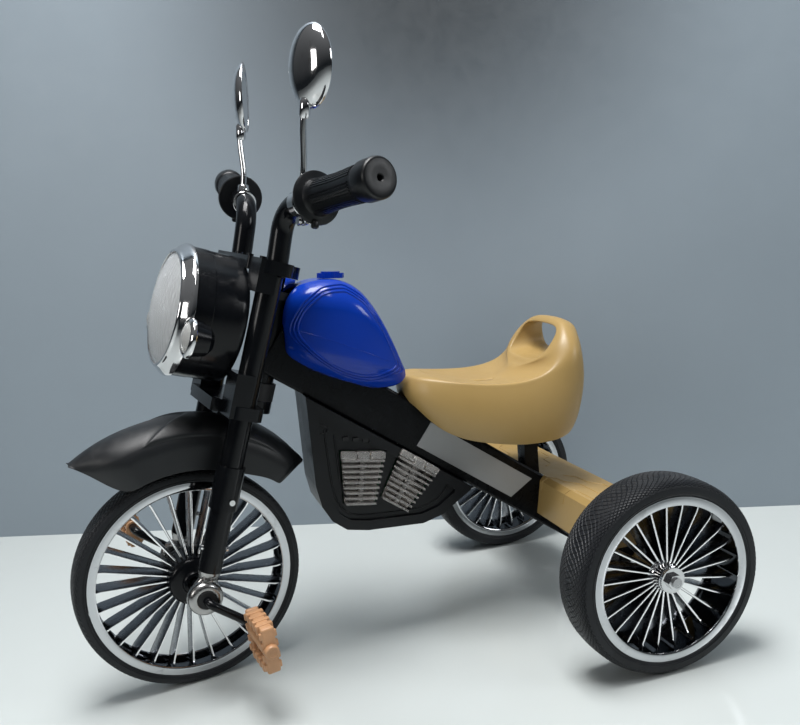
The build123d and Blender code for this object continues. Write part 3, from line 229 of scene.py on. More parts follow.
def plated_group():
    """Faint wiping marks and tarnish of bright metal."""
    name = "Bright Metal Finish"
    if name in bpy.data.node_groups:
        return bpy.data.node_groups[name]
    tree = finish_group(name, (
        ("Colour", (0.8, 0.8, 0.8, 1)), ("Tarnish", (0.5, 0.47, 0.43, 1)), ("Mark Scale", 40.0),
        ("Smoothest", 0.04), ("Roughest", 0.14)))
    link = tree.links.new
    given = tree.nodes.new("NodeGroupInput")
    made = tree.nodes.new("NodeGroupOutput")
    place = shader_node(tree, "TexCoord")
    stretched = shader_node(tree, "Mapping", Scale=(1.0, 0.12, 1.0), Rotation=(0.4, 0.7, 0.2))
    link(place.outputs["Object"], stretched.inputs["Vector"])
    wipes = shader_node(tree, "TexNoise", Detail=7.0, Roughness=0.7)
    link(stretched.outputs["Vector"], wipes.inputs["Vector"])
    link(given.outputs["Mark Scale"], wipes.inputs["Scale"])
    blotch = shader_node(tree, "TexNoise", Scale=55.0, Detail=6.0, Roughness=0.72)
    link(place.outputs["Object"], blotch.inputs["Vector"])
    spots = shader_node(tree, "MapRange", From_Min=0.56, From_Max=0.8)
    link(blotch.outputs["Fac"], spots.inputs["Value"])
    tint = shader_node(tree, "Mix", data_type="RGBA")
    link(spots.outputs["Result"], tint.inputs[0])
    link(given.outputs["Colour"], tint.inputs[6])
    link(given.outputs["Tarnish"], tint.inputs[7])
    link(tint.outputs[2], made.inputs["Colour"])
    rough = shader_node(tree, "MapRange", From_Min=0.35, From_Max=0.72)
    link(wipes.outputs["Fac"], rough.inputs["Value"])
    link(given.outputs["Smoothest"], rough.inputs["To Min"])
    link(given.outputs["Roughest"], rough.inputs["To Max"])
    link(rough.outputs["Result"], made.inputs["Roughness"])
    link(wipes.outputs["Fac"], made.inputs["Height"])
    return tree


# ------------------------------------------------------------------ materials
def material(name, group, bump=0.0, bump_depth=0.0002, values=None, **shader):
    """A material: one of the finish groups into a Principled BSDF of its own."""
    if name in bpy.data.materials:
        return bpy.data.materials[name]
    made = bpy.data.materials.new(name)
    made.use_nodes = True
    tree = made.node_tree
    surface = tree.nodes["Principled BSDF"]
    finish = tree.nodes.new("ShaderNodeGroup")
    finish.node_tree = group()
    for socket_name, value in (values or {}).items():
        finish.inputs[socket_name].default_value = value
    for socket_name, value in shader.items():
        surface.inputs[socket_name.replace("_", " ")].default_value = value
    tree.links.new(finish.outputs["Colour"], surface.inputs["Base Color"])
    tree.links.new(finish.outputs["Roughness"], surface.inputs["Roughness"])
    if bump:
        relief = shader_node(tree, "Bump", Strength=bump, Distance=bump_depth)
        tree.links.new(finish.outputs["Height"], relief.inputs["Height"])
        tree.links.new(relief.outputs["Normal"], surface.inputs["Normal"])
    return made


def shade(rgba, factor):
    """The same colour, darker or lighter."""
    return (*(min(1.0, part * factor) for part in rgba[:3]), 1.0)


def moulded(name, base, drift=0.8, smooth=0.25, rough=0.4, dust=0.1, grain=900.0, scale=9.0, **rest):
    """A moulded or painted finish."""
    return material(name, moulded_group, values={
        "Colour": base, "Drift Colour": shade(base, drift), "Drift Scale": scale,
        "Grain Scale": grain, "Smoothest": smooth, "Roughest": rough, "Dust": dust}, **rest)


def bright(name, base, tarnish, smooth=0.04, rough=0.14, marks=40.0, **rest):
    """A bright metal finish."""
    return material(name, plated_group, Metallic=1.0, values={
        "Colour": base, "Tarnish": tarnish, "Mark Scale": marks,
        "Smoothest": smooth, "Roughest": rough}, **rest)


def finishes():
    """Every finish of the tricycle by the name of its material slot."""
    return {
        "tyre_foam": moulded("Tyre foam", colour("tyre"), 1.5, 0.42, 0.6, 0.05, 1600.0, 14.0,
                             bump=0.35, bump_depth=0.0003, Specular_IOR_Level=0.35),
        "rim_chrome": bright("Rim chrome", (0.56, 0.57, 0.59, 1), (0.34, 0.34, 0.34, 1), 0.03, 0.12),
        "rim_shade": bright("Blade sides", (0.17, 0.18, 0.20, 1), (0.08, 0.08, 0.09, 1), 0.2, 0.36, 60.0),
        "blade_edge": bright("Blade edges", (0.93, 0.93, 0.94, 1), (0.7, 0.7, 0.7, 1), 0.12, 0.22, 60.0),
        "rim_well": bright("Rim well", (0.10, 0.105, 0.115, 1), (0.05, 0.05, 0.06, 1), 0.05, 0.16, 60.0),
        "frame_paint": moulded("Frame paint", colour("paint"), 1.35, 0.2, 0.36, 0.04, 1300.0,
                               bump=0.06, Specular_IOR_Level=0.16),
        "fork_paint": moulded("Fork paint", colour("paint"), 1.3, 0.1, 0.22, 0.03, 1300.0,
                              bump=0.04, Specular_IOR_Level=0.22),
        "bright_steel": bright("Bright plating", (0.66, 0.66, 0.67, 1), (0.4, 0.37, 0.34, 1), 0.04, 0.13),
        "satin_steel": bright("Satin nickel", (0.36, 0.355, 0.35, 1), (0.26, 0.24, 0.22, 1), 0.17, 0.32,
                              120.0, bump=0.05, bump_depth=0.0001),
        "plain_steel": bright("Plain steel", (0.42, 0.42, 0.43, 1), (0.25, 0.23, 0.21, 1), 0.25, 0.45,
                              160.0, bump=0.15, bump_depth=0.0001),
        "black_plastic": moulded("Black gloss plastic", colour("plastic"), 1.4, 0.12, 0.26, 0.04,
                                 1400.0, bump=0.05, Specular_IOR_Level=0.2),
        "casing_plastic": moulded("Casing plastic", colour("plastic"), 1.4, 0.3, 0.42, 0.03,
                                  1700.0, bump=0.1, Specular_IOR_Level=0.3),
        "fender_plastic": moulded("Fender plastic", colour("fender"), 1.25, 0.36, 0.48, 0.06,
                                  2200.0, bump=0.12, Specular_IOR_Level=0.4),
        "tank_blue": moulded("Tank blue", colour("tank"), 0.82, 0.10, 0.20, 0.01, 700.0, 6.0,
                             bump=0.02, Specular_IOR_Level=0.35),
        "seat_tan": moulded("Saddle tan", colour("seat"), 0.9, 0.34, 0.46, 0.03, 1500.0, 7.0,
                            bump=0.10),
        "pedal_tan": moulded("Pedal tan", colour("pedal"), 0.75, 0.35, 0.5, 0.04, 1500.0, 30.0,
                             bump=0.08),
        "grip_rubber": moulded("Grip rubber", colour("plastic"), 1.4, 0.26, 0.42, 0.03,
                               1900.0, bump=0.2, Specular_IOR_Level=0.3),
        "clear_plastic": moulded("Clear plastic", (0.95, 0.96, 0.97, 1), 0.97, 0.04, 0.12, 0.0,
                                 500.0, bump=0.05, Transmission_Weight=1.0, IOR=1.45),
        "lens_plastic": moulded("Lens plastic", (0.86, 0.88, 0.89, 1), 0.95, 0.10, 0.2, 0.0,
                                500.0, bump=0.05, Transmission_Weight=0.62, IOR=1.45),
        "fin_plastic": moulded("Fin plastic", (0.84, 0.82, 0.80, 1), 0.9, 0.04, 0.10, 0.0, 500.0,
                               Transmission_Weight=0.76, IOR=1.45),
        # The backing's dark tone is partly its own dull plating and partly painted shade for the gaps between the
        # fins.
        "lens_backing": bright("Lens backing", (0.20, 0.18, 0.17, 1), (0.07, 0.06, 0.055, 1), 0.08, 0.3,
                               220.0),
        "amber_plastic": moulded("Signal plastic", (0.86, 0.86, 0.84, 1), 0.95, 0.05, 0.15, 0.0,
                                 500.0, bump=0.05, Transmission_Weight=0.7, IOR=1.45),
        "mirror_glass": bright("Mirror glass", (0.9, 0.91, 0.92, 1), (0.8, 0.81, 0.82, 1), 0.01, 0.05),
        "label_silver": moulded("Label silver", (0.44, 0.45, 0.46, 1), 0.92, 0.3, 0.42, 0.02,
                                1800.0, bump=0.05, Metallic=0.3),
        "nylon": moulded("Black nylon", (0.012, 0.012, 0.013, 1), 1.3, 0.4, 0.55, 0.05, 1200.0, bump=0.1,
                         Specular_IOR_Level=0.3),
        "board_green": moulded("Circuit board", (0.01, 0.12, 0.045, 1), 0.7, 0.3, 0.45, 0.02, 400.0,
                               bump=0.1),
        "button_grey": moulded("Button plastic", (0.012, 0.012, 0.013, 1), 1.4, 0.2, 0.35, 0.03,
                               900.0, bump=0.05, Specular_IOR_Level=0.3),
    }


# ------------------------------------------------------------------ stage
def make_camera():
    """Camera a little in front of the tricycle's left side, at a child's eye height."""
    sizes = bpy.context.scene.tricycle_sizes
    swing, dip, tilt = sizes.eye_turn
    look = Vector((-math.cos(swing), math.sin(swing), 0))
    right = Vector((math.sin(swing), math.cos(swing), 0))
    up = Vector((0, 0, 1))
    forward = math.cos(dip) * look - math.sin(dip) * up
    above = math.cos(dip) * up + math.sin(dip) * look
    side = math.cos(tilt) * right + math.sin(tilt) * above
    top = -math.sin(tilt) * right + math.cos(tilt) * above
    turned = Matrix((side, top, -forward)).transposed().to_4x4()
    data = bpy.data.cameras.new("Camera")
    data.lens = sizes.lens
    data.sensor_width = 36.0
    data.shift_y = sizes.lens_rise
    camera = bpy.data.objects.new("Camera", data)
    turned.translation = Vector((sizes.eye_reach, -sizes.eye_forward, sizes.eye_height))
    camera.matrix_world = turned
    bpy.context.scene.collection.objects.link(camera)
    bpy.context.scene.camera = camera


def area_light(name, place, aim, size, power, tint=(1, 1, 1)):
    """One soft light that looks at a point."""
    data = bpy.data.lights.new(name, "AREA")
    data.shape = "RECTANGLE"
    data.size, data.size_y = size
    data.energy = power
    data.color = tint
    lamp = bpy.data.objects.new(name, data)
    lamp.location = place
    lamp.rotation_mode = "QUATERNION"
    lamp.rotation_quaternion = (Vector(aim) - Vector(place)).to_track_quat("-Z", "Y")
    bpy.context.scene.collection.objects.link(lamp)


def stage_sheet(name, corners, finish):
    """A flat sheet of the stage."""
    bm = bmesh.new()
    bm.faces.new([bm.verts.new(corner) for corner in corners])
    mesh = bpy.data.meshes.new(name)
    bm.to_mesh(mesh)
    bm.free()
    sheet = bpy.data.objects.new(name, mesh)
    sheet.data.materials.append(finish)
    bpy.context.scene.collection.objects.link(sheet)
    return sheet


def one_sided(finish):
    """Lets a finish be seen from its front only."""
    tree = finish.node_tree
    output = tree.nodes["Material Output"]
    surface = tree.nodes["Principled BSDF"]
    clear = shader_node(tree, "BsdfTransparent")
    side = shader_node(tree, "NewGeometry")
    chosen = shader_node(tree, "MixShader")
    tree.links.new(side.outputs["Backfacing"], chosen.inputs[0])
    tree.links.new(surface.outputs["BSDF"], chosen.inputs[1])
    tree.links.new(clear.outputs["BSDF"], chosen.inputs[2])
    tree.links.new(chosen.outputs["Shader"], output.inputs["Surface"])
    return finish


def darkened(finish, centre, near, far, depth):
    """Paints shade into a finish's colour round a point."""
    tree = finish.node_tree
    surface = tree.nodes["Principled BSDF"]
    place = shader_node(tree, "TexCoord")
    reach = shader_node(tree, "VectorMath", operation="DISTANCE")
    reach.inputs[1].default_value = centre
    tree.links.new(place.outputs["Object"], reach.inputs[0])
    fall = shader_node(tree, "MapRange", interpolation_type="SMOOTHSTEP", From_Min=near, From_Max=far,
                       To_Min=depth, To_Max=1.0)
    tree.links.new(reach.outputs["Value"], fall.inputs["Value"])
    mix = shader_node(tree, "Mix", data_type="RGBA", blend_type="MULTIPLY")
    mix.inputs[0].default_value = 1.0
    tree.links.new(surface.inputs["Base Color"].links[0].from_socket, mix.inputs[6])
    tree.links.new(fall.outputs["Result"], mix.inputs[7])
    tree.links.new(mix.outputs[2], surface.inputs["Base Color"])


def make_stage():
    """Pale glossy floor, grey wall behind with painted shade round a point a metre up just in front of it, and
    soft lights overhead.
    """
    floor = moulded("Pale floor", colour("floor"), 0.97, 0.10, 0.24, 0.0, 60.0, 1.2, bump=0.01)
    wall = one_sided(moulded("Grey wall", colour("wall"), 0.9, 0.4, 0.6, 0.0, 25.0, 0.9, bump=0.05,
                             bump_depth=0.002))
    # Painted shade: the wall's colour darkens round a point a metre up, just in front of the wall.
    darkened(wall, (-0.36, 0.27, 1.02), 0.10, 0.62, 0.16)
    stage_sheet("floor", [(-6, -6, 0), (6, -6, 0), (6, 6, 0), (-6, 6, 0)], floor)
    foot, way = Vector((-0.4406, 0.0985, 0)), Vector((0.4217, 0.9067, 0))
    ends = foot - way * 6, foot + way * 6
    rise = Vector((0, 0, 3.2))
    stage_sheet("backdrop", [ends[0], ends[1], ends[1] + rise, ends[0] + rise], wall)
    area_light("Ceiling panel", (0.25, -0.25, 2.4), (-0.05, 0, 0.2), (0.9, 1.1), 58)
    area_light("Ceiling strip", (0.15, 0.1, 2.2), (-0.1, 0.1, 0.2), (0.2, 2.4), 14)
    area_light("Rear fill", (1.5, 2.0, 1.3), (-0.3, 0.2, 0.4), (0.7, 0.7), 12, (0.95, 0.98, 1.0))
    area_light("Front fill", (1.0, -2.1, 1.2), (-0.3, -0.2, 0.4), (0.7, 0.7), 9, (1.0, 0.98, 0.95))
    world = bpy.data.worlds.new("Room")
    bpy.context.scene.world = world
    world.use_nodes = True
    tree = world.node_tree
    background = tree.nodes["Background"]
    place = shader_node(tree, "TexCoord")
    height = shader_node(tree, "SeparateXYZ")
    tree.links.new(place.outputs["Generated"], height.inputs["Vector"])
    ramp = shader_node(tree, "ValToRGB")
    ramp.color_ramp.elements[0].position = 0.0
    ramp.color_ramp.elements[0].color = (0.05, 0.06, 0.07, 1)
    ramp.color_ramp.elements[1].position = 0.9
    ramp.color_ramp.elements[1].color = (0.80, 0.82, 0.84, 1)
    tree.links.new(height.outputs["Z"], ramp.inputs["Fac"])
    tree.links.new(ramp.outputs["Color"], background.inputs["Color"])
    background.inputs["Strength"].default_value = 0.24
    bpy.context.scene.view_settings.view_transform = "Standard"


# ------------------------------------------------------------------ mesh helpers
def lathe(bm, profile, steps=96, closed=False):
    """Spins a profile of (along, outwards) points round X, and returns its vertices."""
    others = set(bm.verts)
    points = [bm.verts.new((along, out, 0)) for along, out in profile]
    pairs = list(zip(points, points[1:])) + ([(points[-1], points[0])] if closed else [])
    edges = [bm.edges.new(pair) for pair in pairs]
    bmesh.ops.spin(bm, geom=points + edges, cent=(0, 0, 0), axis=(1, 0, 0), angle=TURN,
                   steps=steps, use_merge=True)
    return [vert for vert in bm.verts if vert not in others]


def moved(bm, verts, matrix):
    """Moves some vertices by a matrix."""
    bmesh.ops.transform(bm, matrix=matrix, verts=verts)
    return verts


def block(bm, low, high, bevel=0.0, segments=2):
    """A box between two corners with rounded edges, and its vertices."""
    size = Vector(high) - Vector(low)
    middle = (Vector(high) + Vector(low)) / 2
    place = Matrix.Translation(middle) @ Matrix.Diagonal((*size, 1))
    verts = bmesh.ops.create_cube(bm, size=1, matrix=place)["verts"]
    if bevel:
        edges = list({edge for vert in verts for edge in vert.link_edges})
        made = bmesh.ops.bevel(bm, geom=edges, offset=bevel, affect="EDGES", segments=segments,
                               profile=0.5, material=-1)
        verts = list({vert for face in made["faces"] for vert in face.verts}
                     | {vert for vert in verts if vert.is_valid})
    return verts


def sheet_of(bm, rows):
    """A net of faces through rows of points, pulled from each row to the next, and its vertices."""
    verts = [bm.verts.new(point) for point in rows[0]]
    edges = [bm.edges.new(pair) for pair in zip(verts, verts[1:])]
    net = [verts]
    for row in rows[1:]:
        grown = set(bmesh.ops.extrude_edge_only(bm, edges=edges)["geom"])
        verts = [next(link.other_vert(vert) for link in vert.link_edges
                      if link.other_vert(vert) in grown) for vert in verts]
        for vert, point in zip(verts, row):
            vert.co = point
        edges = [next(link for link in first.link_edges if link.other_vert(first) is second)
                 for first, second in zip(verts, verts[1:])]
        net.append(verts)
    return net


def between(first, second, part):
    """A point part of the way from one to another."""
    return Vector(first).lerp(Vector(second), part)


def ease(low, high, value):
    """Rises smoothly from 0 at low to 1 at high."""
    part = min(1.0, max(0.0, (value - low) / (high - low)))
    return part * part * (3 - 2 * part)


def solid_sheet(piece, thickness, levels=2):
    """Gives an open sheet its wall, inwards, and rounds it."""
    wall = piece.modifiers.new("Wall", "SOLIDIFY")
    wall.thickness = thickness * 0.001
    wall.offset = -1
    return subdivided(piece, levels)


def pulled_tube(bm, points, radius, sides=20, caps=True):
    """A round bar through points: a ring is pulled from each point to the next."""
    points = [Vector(point) for point in points]
    ways = [(points[min(i + 1, len(points) - 1)] - points[max(i - 1, 0)]).normalized()
            for i in range(len(points))]
    turn = ways[0].to_track_quat("Z", "Y").to_matrix().to_4x4()
    ring = bmesh.ops.create_circle(bm, segments=sides, radius=radius,
                                   matrix=Matrix.Translation(points[0]) @ turn)["verts"]
    made = list(ring)
    edges = list({edge for vert in ring for edge in vert.link_edges})
    if caps:
        bmesh.ops.contextual_create(bm, geom=edges)
    for index in range(1, len(points)):
        grown = bmesh.ops.extrude_edge_only(bm, edges=edges)["geom"]
        ring = [item for item in grown if isinstance(item, bmesh.types.BMVert)]
        edges = [item for item in grown if isinstance(item, bmesh.types.BMEdge)]
        bend = ways[index - 1].rotation_difference(ways[index]).to_matrix().to_4x4()
        moved(bm, ring, Matrix.Translation(points[index]) @ bend
              @ Matrix.Translation(-points[index - 1]))
        made += ring
    if caps:
        bmesh.ops.contextual_create(bm, geom=edges)
    return made


def arc_points(centre, start, axis, angle, count):
    """Points from start turned about an axis through a centre."""
    centre, start = Vector(centre), Vector(start)
    return [centre + Matrix.Rotation(angle * i / count, 4, axis) @ (start - centre)
            for i in range(count + 1)]


def finished(name, bm, finish, body, place, nodes=(), crisp=32.0, merge=0.01, smooth=True,
             outward=True):
    """Makes the mesh a piece at its place, with its finish, riding on its body."""
    if merge:
        bmesh.ops.remove_doubles(bm, verts=bm.verts, dist=merge)
    if outward:
        bmesh.ops.recalc_face_normals(bm, faces=bm.faces)
    bm.transform(place)
    mesh = bpy.data.meshes.new(name)
    bm.to_mesh(mesh)
    bm.free()
    piece = bpy.data.objects.new(name, mesh)
    bpy.context.scene.collection.objects.link(piece)
    for look in finish if isinstance(finish, (list, tuple)) else [finish]:
        mesh.materials.append(look)
    mesh.polygons.foreach_set("use_smooth", [smooth] * len(mesh.polygons))
    if smooth and crisp:
        mesh.set_sharp_from_angle(angle=math.radians(crisp))
    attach(piece, body)
    if nodes:
        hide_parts(*nodes)
    return piece


def subdivided(piece, levels=2):
    """Rounds a piece with a subdivision surface."""
    modifier = piece.modifiers.new("Rounded", "SUBSURF")
    modifier.levels = modifier.render_levels = levels
    return piece


def mirrored(bm):
    """Adds the mirror image across the middle plane, joined where it meets."""
    bmesh.ops.mirror(bm, geom=bm.verts[:] + bm.edges[:] + bm.faces[:], matrix=Matrix.Identity(4),
                     merge_dist=0.05, axis="X")
    return bm


# ------------------------------------------------------------------ frame nodes
OWN_FINISH = {
    "dropout_left": "satin_steel", "dropout_right": "satin_steel", "crank": "fork_paint",
    "casing_left": "casing_plastic", "casing_right": "casing_plastic", "head_tube": "frame_paint",
}


def dress_nodes():
    """Gives frame nodes their finish, and shades them smooth between their edges."""
    slots = {part["node"]: part["material_slot"] for part in frame["record"]["subparts"]}
    looks = finishes()
    for name, node in frame["nodes"].items():
        node.data.materials.clear()
        node.data.materials.append(looks[OWN_FINISH.get(name, slots[name])])
        weld = node.modifiers.new("Joined seams", "WELD")
        weld.merge_threshold = 1e-6
        split = node.modifiers.new("Crisp edges", "EDGE_SPLIT")
        split.split_angle = math.radians(28)
        node.data.polygons.foreach_set("use_smooth", [True] * len(node.data.polygons))


# ------------------------------------------------------------------ wheels
def tyre_section(half, radius, bead, rows):
    """Half-round section of a tyre from bead to bead, as (across, outwards)."""
    middle = bead + (radius - bead) * 0.42
    points = []
    for index in range(rows + 1):
        angle = math.pi * (1 - index / rows)
        across = math.copysign(abs(math.cos(angle)) ** 0.72, math.cos(angle))
        points.append((across * half, middle + (radius - middle) * math.sin(angle) ** 0.72))
    return points


def treaded_tyre(name, finish, body, place, node, half, radius, bead, rows, steps, raise_by=1.0):
    """Foam tyre with a raised diamond tread over its crown and shoulders."""
    bm = bmesh.new()
    crown = tyre_section(half - 0.8, radius - raise_by, bead, rows)
    edge = crown[0][1]
    side = [(-half + 3, bead), (-half + 1.6, bead + 1.0), (-half + 1.0, bead + 2.6),
            (-half + 1.6, bead + 3.4), (-half + 0.9, bead + 4.6)]
    side = [point for point in side if point[1] < edge - 0.5]
    inner = [(half - 3 - (2 * half - 6) * part / 4, bead) for part in range(1, 4)]
    lathe(bm, side + crown + [(-across, out) for across, out in reversed(side)] + inner,
          steps, closed=True)
    bmesh.ops.remove_doubles(bm, verts=bm.verts, dist=0.01)
    low = edge + (radius - edge) * 0.12
    treads = [face for face in bm.faces
              if all(math.hypot(vert.co.y, vert.co.z) > low for vert in face.verts)]
    inside = set(treads)
    shared = [link for link in {link for face in treads for link in face.edges}
              if all(face in inside for face in link.link_faces)]
    bmesh.ops.poke(bm, faces=treads)
    bmesh.ops.dissolve_edges(bm, edges=shared, use_verts=False)
    blocks = [face for face in bm.faces if len(face.verts) == 4
              and all(math.hypot(vert.co.y, vert.co.z) > low for vert in face.verts)
              and face.calc_area() < 1.2 * (TURN * radius / steps) ** 2]
    bmesh.ops.recalc_face_normals(bm, faces=bm.faces)
    bmesh.ops.inset_individual(bm, faces=blocks, thickness=0.75, depth=raise_by * 0.9,
                               use_even_offset=True)
    return finished(name, bm, finish, body, place, [node], crisp=24.0)


def bladed_rim(name, body, place, node, half, radius, lip, hub, hub_half, bore, blades, depth, lean):
    """Plated wheel: a barrel with a rolled lip on each side, thin deep blades and a hub."""
    looks = finishes()
    bm = bmesh.new()
    well = radius - 4.5
    inner = radius - lip
    left = [(-half, inner + 1.2), (-half + 0.6, inner + 0.3), (-half + 1.6, inner),
            (-half + 2.6, inner + 0.4), (-half + 3.2, inner + 1.4), (-half + 3.4, well - 1.6),
            (-half + 5.4, well)]
    flat = [(-half + 0.3, radius - 0.4), (-half, inner + lip * 0.75), (-half - 0.5, inner + lip * 0.45)]
    lathe(bm, left + [(-across, out) for across, out in reversed(left)]
          + [(-across, out) for across, out in reversed(flat)] + flat, 144, closed=True)
    for face in bm.faces:
        middle = face.calc_center_median()
        if abs(middle.x) < half - 3.0 and math.hypot(middle.y, middle.z) < radius - 1.5:
            face.material_index = 2
    start, end = hub * 0.72, inner + 2.5
    others = set(bm.verts)
    path = [(start, 0), (hub + 3, 0), ((start + end) / 2, 0), (end - 9, 0), (end - 4, 0.6), (end, 2.0)]
    chain = [bm.verts.new((-depth / 2, out, side)) for out, side in path]
    edges = [bm.edges.new(pair) for pair in zip(chain, chain[1:])]
    grown = bmesh.ops.extrude_edge_only(bm, edges=edges)["geom"]
    moved(bm, [item for item in grown if isinstance(item, bmesh.types.BMVert)],
          Matrix.Translation((depth, 0, 0)))
    faces = list({face for vert in bm.verts if vert not in others for face in vert.link_faces})
    bmesh.ops.solidify(bm, geom=faces, thickness=2.4)
    blade = [vert for vert in bm.verts if vert not in others]
    rims = [edge for edge in {edge for vert in blade for edge in vert.link_edges}
            if edge.calc_length() > 3 and abs(edge.verts[0].co.x - edge.verts[1].co.x) < 0.1]
    bmesh.ops.bevel(bm, geom=rims, offset=0.6, affect="EDGES", segments=2, profile=0.5, material=-1)
    blade = [vert for vert in bm.verts if vert not in others]
    for face in {face for vert in blade for face in vert.link_faces}:
        face.material_index = 1 if abs(face.normal.x) < 0.2 else 3
    moved(bm, blade, Matrix.Rotation(lean, 4, "X"))
    faces = list({face for vert in blade for face in vert.link_faces})
    edges = list({edge for vert in blade for edge in vert.link_edges})
    bmesh.ops.spin(bm, geom=blade + edges + faces, cent=(0, 0, 0), axis=(1, 0, 0),
                   angle=TURN * (blades - 1) / blades, steps=blades - 1, use_duplicate=True)
    lathe(bm, [(-hub_half, bore), (-hub_half, hub - 2.5), (-hub_half + 1.2, hub - 0.8),
               (-hub_half + 3, hub), (hub_half - 3, hub), (hub_half - 1.2, hub - 0.8),
               (hub_half, hub - 2.5), (hub_half, bore)],
          64, closed=True)
    coats = [looks[slot] for slot in ("rim_chrome", "rim_shade", "rim_well", "blade_edge")]
    return finished(name, bm, coats, body, place, [node], crisp=30.0)


def rear_wheel_place(side):
    """A rear wheel's axis and middle, with X outwards."""
    turned = Matrix.Identity(4) if side == "left" else Matrix.Rotation(math.pi, 4, "Z")
    return Matrix.Translation(middle_of("rear_rim_" + side)) @ turned @ MILLIMETRE


def make_front_wheel():
    """Front tyre, rim and black hub disc."""
    looks = finishes()
    treaded_tyre("front_tyre_foam", looks["tyre_foam"], "front_wheel", FORK, "front_tyre",
                 21, 142, 127.5, 8, 116)
    bladed_rim("front_rim_plated", "front_wheel", FORK, "front_rim", 19, 127.3, 11, 30, 18, 12, 28, 26,
               0.0)
    bm = bmesh.new()
    half = [(30, 9.8), (30, 14), (28.5, 15.5), (26.5, 16), (26, 17), (25.5, 25), (24, 28), (21.5, 30.4),
            (19, 31), (17.5, 31.2), (17, 30.5)]
    lathe(bm, half + [(-along, out) for along, out in reversed(half)], 72, closed=True)
    finished("front_hub_disc", bm, looks["black_plastic"], "front_wheel", FORK)


def make_rear_wheels():
    """Rear tyres, rims and stepped plated hub caps."""
    looks = finishes()
    for side in ("left", "right"):
        place = rear_wheel_place(side)
        body = "rear_wheel_" + side
        treaded_tyre("rear_tyre_foam_" + side, looks["tyre_foam"], body, place, "rear_tyre_" + side,
                     32, 120, 101.5, 13, 104)
        bladed_rim("rear_rim_plated_" + side, body, place, "rear_rim_" + side, 30, 101.3, 11, 16.5, 26, 6.6,
                   25, 34, 0.05)
        bm = bmesh.new()
        lathe(bm, [(26.5, 6.8), (26.5, 9.5), (26, 10.5), (24, 11.5), (23.2, 12.5), (23, 14.5), (21.5, 16.6),
                   (17, 18.0), (13.5, 19.6), (12.5, 21.0), (12.2, 22.5), (11, 23), (10, 22.4), (10, 6.8)],
              64, closed=True)
        finished("rear_hub_cap_" + side, bm, looks["bright_steel"], body, place)


# ------------------------------------------------------------------ saddle
SADDLE_RIBS = (
    # crest, lower edge, spine as (y, z), from the nose to the back
    ((0, -221, 357), (0, -223, 322), (-203, 353)),
    ((28, -219, 357), (30, -221, 318), (-203, 353)),
    ((44, -206, 355.5), (47, -207, 298), (-193, 350.5)),
    ((57, -188, 351.5), (59, -190, 283), (-179, 346.5)),
    ((66, -165, 347), (68, -168, 272), (-162, 341.5)),
    ((72, -140, 343), (75, -145, 266), (-142, 336.5)),
    ((76, -115, 340), (81, -120, 261), (-119, 333)),
    ((78, -90, 339.5), (84, -95, 257), (-100, 332.5)),
    ((79, -68, 342), (85, -72, 256), (-90, 334.5)),
    ((79.5, -51, 348), (85, -52, 256), (-84, 337)),
    ((79, -38, 358), (82.5, -36, 258), (-79, 339.5)),
    ((77, -28, 372), (76.5, -23, 261), (-75, 342)),
    ((70.5, -20, 388), (67, -14, 266), (-72, 344.5)),
    ((58, -14, 401), (54, -8, 272), (-69.5, 346.5)),
    ((41, -10, 408.5), (38, -5, 276), (-67.5, 348)),
    ((20.5, -9, 411), (19, -4, 278), (-66, 349)),
    ((0, -9, 411), (0, -4, 278), (-66, 349)),
)
HOLE_RIBS = {13: (52, 364, 392), 14: (39, 359, 398), 15: (20, 357.5, 399.5), 16: (0, 357.5, 399.5)}


def hoop_face(height):
    """How far back the front face of the saddle's hoop stands at a height."""
    return -24 - (396 - height) * 0.62 - max(0.0, 372 - height) ** 1.5 * 0.13


def saddle_rib(index):
    """Points of one rib of the saddle: up its flank, over the crest and down into the dish."""
    crest, edge, spine = (Vector(SADDLE_RIBS[index][0]), Vector(SADDLE_RIBS[index][1]),
                          Vector((0, *SADDLE_RIBS[index][2])))
    before = Vector(SADDLE_RIBS[max(index - 1, 0)][1])
    after = Vector(SADDLE_RIBS[min(index + 1, len(SADDLE_RIBS) - 1)][1])
    along = after - before
    out = Vector((along.y, -along.x, 0)).normalized()
    if index in (0, len(SADDLE_RIBS) - 1):
        out = Vector((0, -1 if index == 0 else 1, 0))
    hoop = ease(345, 398, crest.z)
    points = [edge - out * 5 + Vector((0, 0, 1.5)), edge - out * 1.5, edge + Vector((0, 0, 1.5))]
    for plain, raised, low_swell, high_swell in (
            (0.12, 0.08, 3.5, 7.0), (0.36, 0.28, 6.5, 15.0), (0.62, 0.46, 6.0, 20.0),
            (0.82, 0.62, 3.4, 22.5), (0.94, 0.92, 0.8, 20.0)):
        part = plain + (raised - plain) * hoop
        swell = low_swell + (high_swell - low_swell) * hoop
        points.append(between(edge, crest, part) + out * swell)
    points.append(crest)
    for plain, swell in ((0.09, -0.8), (0.25, -1.8), (0.55, -2.0), (0.8, -0.8), (1.0, 0)):
        points.append(between(crest, spine, plain) + Vector((0, 0, swell)))
    if hoop > 0:
        inner = Vector((crest.x * 0.92, hoop_face(crest.z - 6), crest.z - 6))
        lower = Vector((crest.x * 0.84, hoop_face(360), 360))
        targets = {9: inner, 10: lower, 11: between(lower, spine, 0.45) - Vector((0, 0, 1.5)),
                   12: between(lower, spine, 0.78) - Vector((0, 0, 1.5))}
        for place, target in targets.items():
            points[place] = between(points[place], target, hoop)
    if index in HOLE_RIBS:
        across, low, high = HOLE_RIBS[index]
        points[6] = Vector((across, 16.0 - abs(across) * 0.09, low))
        points[7] = Vector((across, 11.5 - abs(across) * 0.09, high))
        points[9] = Vector((across, hoop_face(high) + 1.5, high))
        points[10] = Vector((across, hoop_face(low), low))
    return points


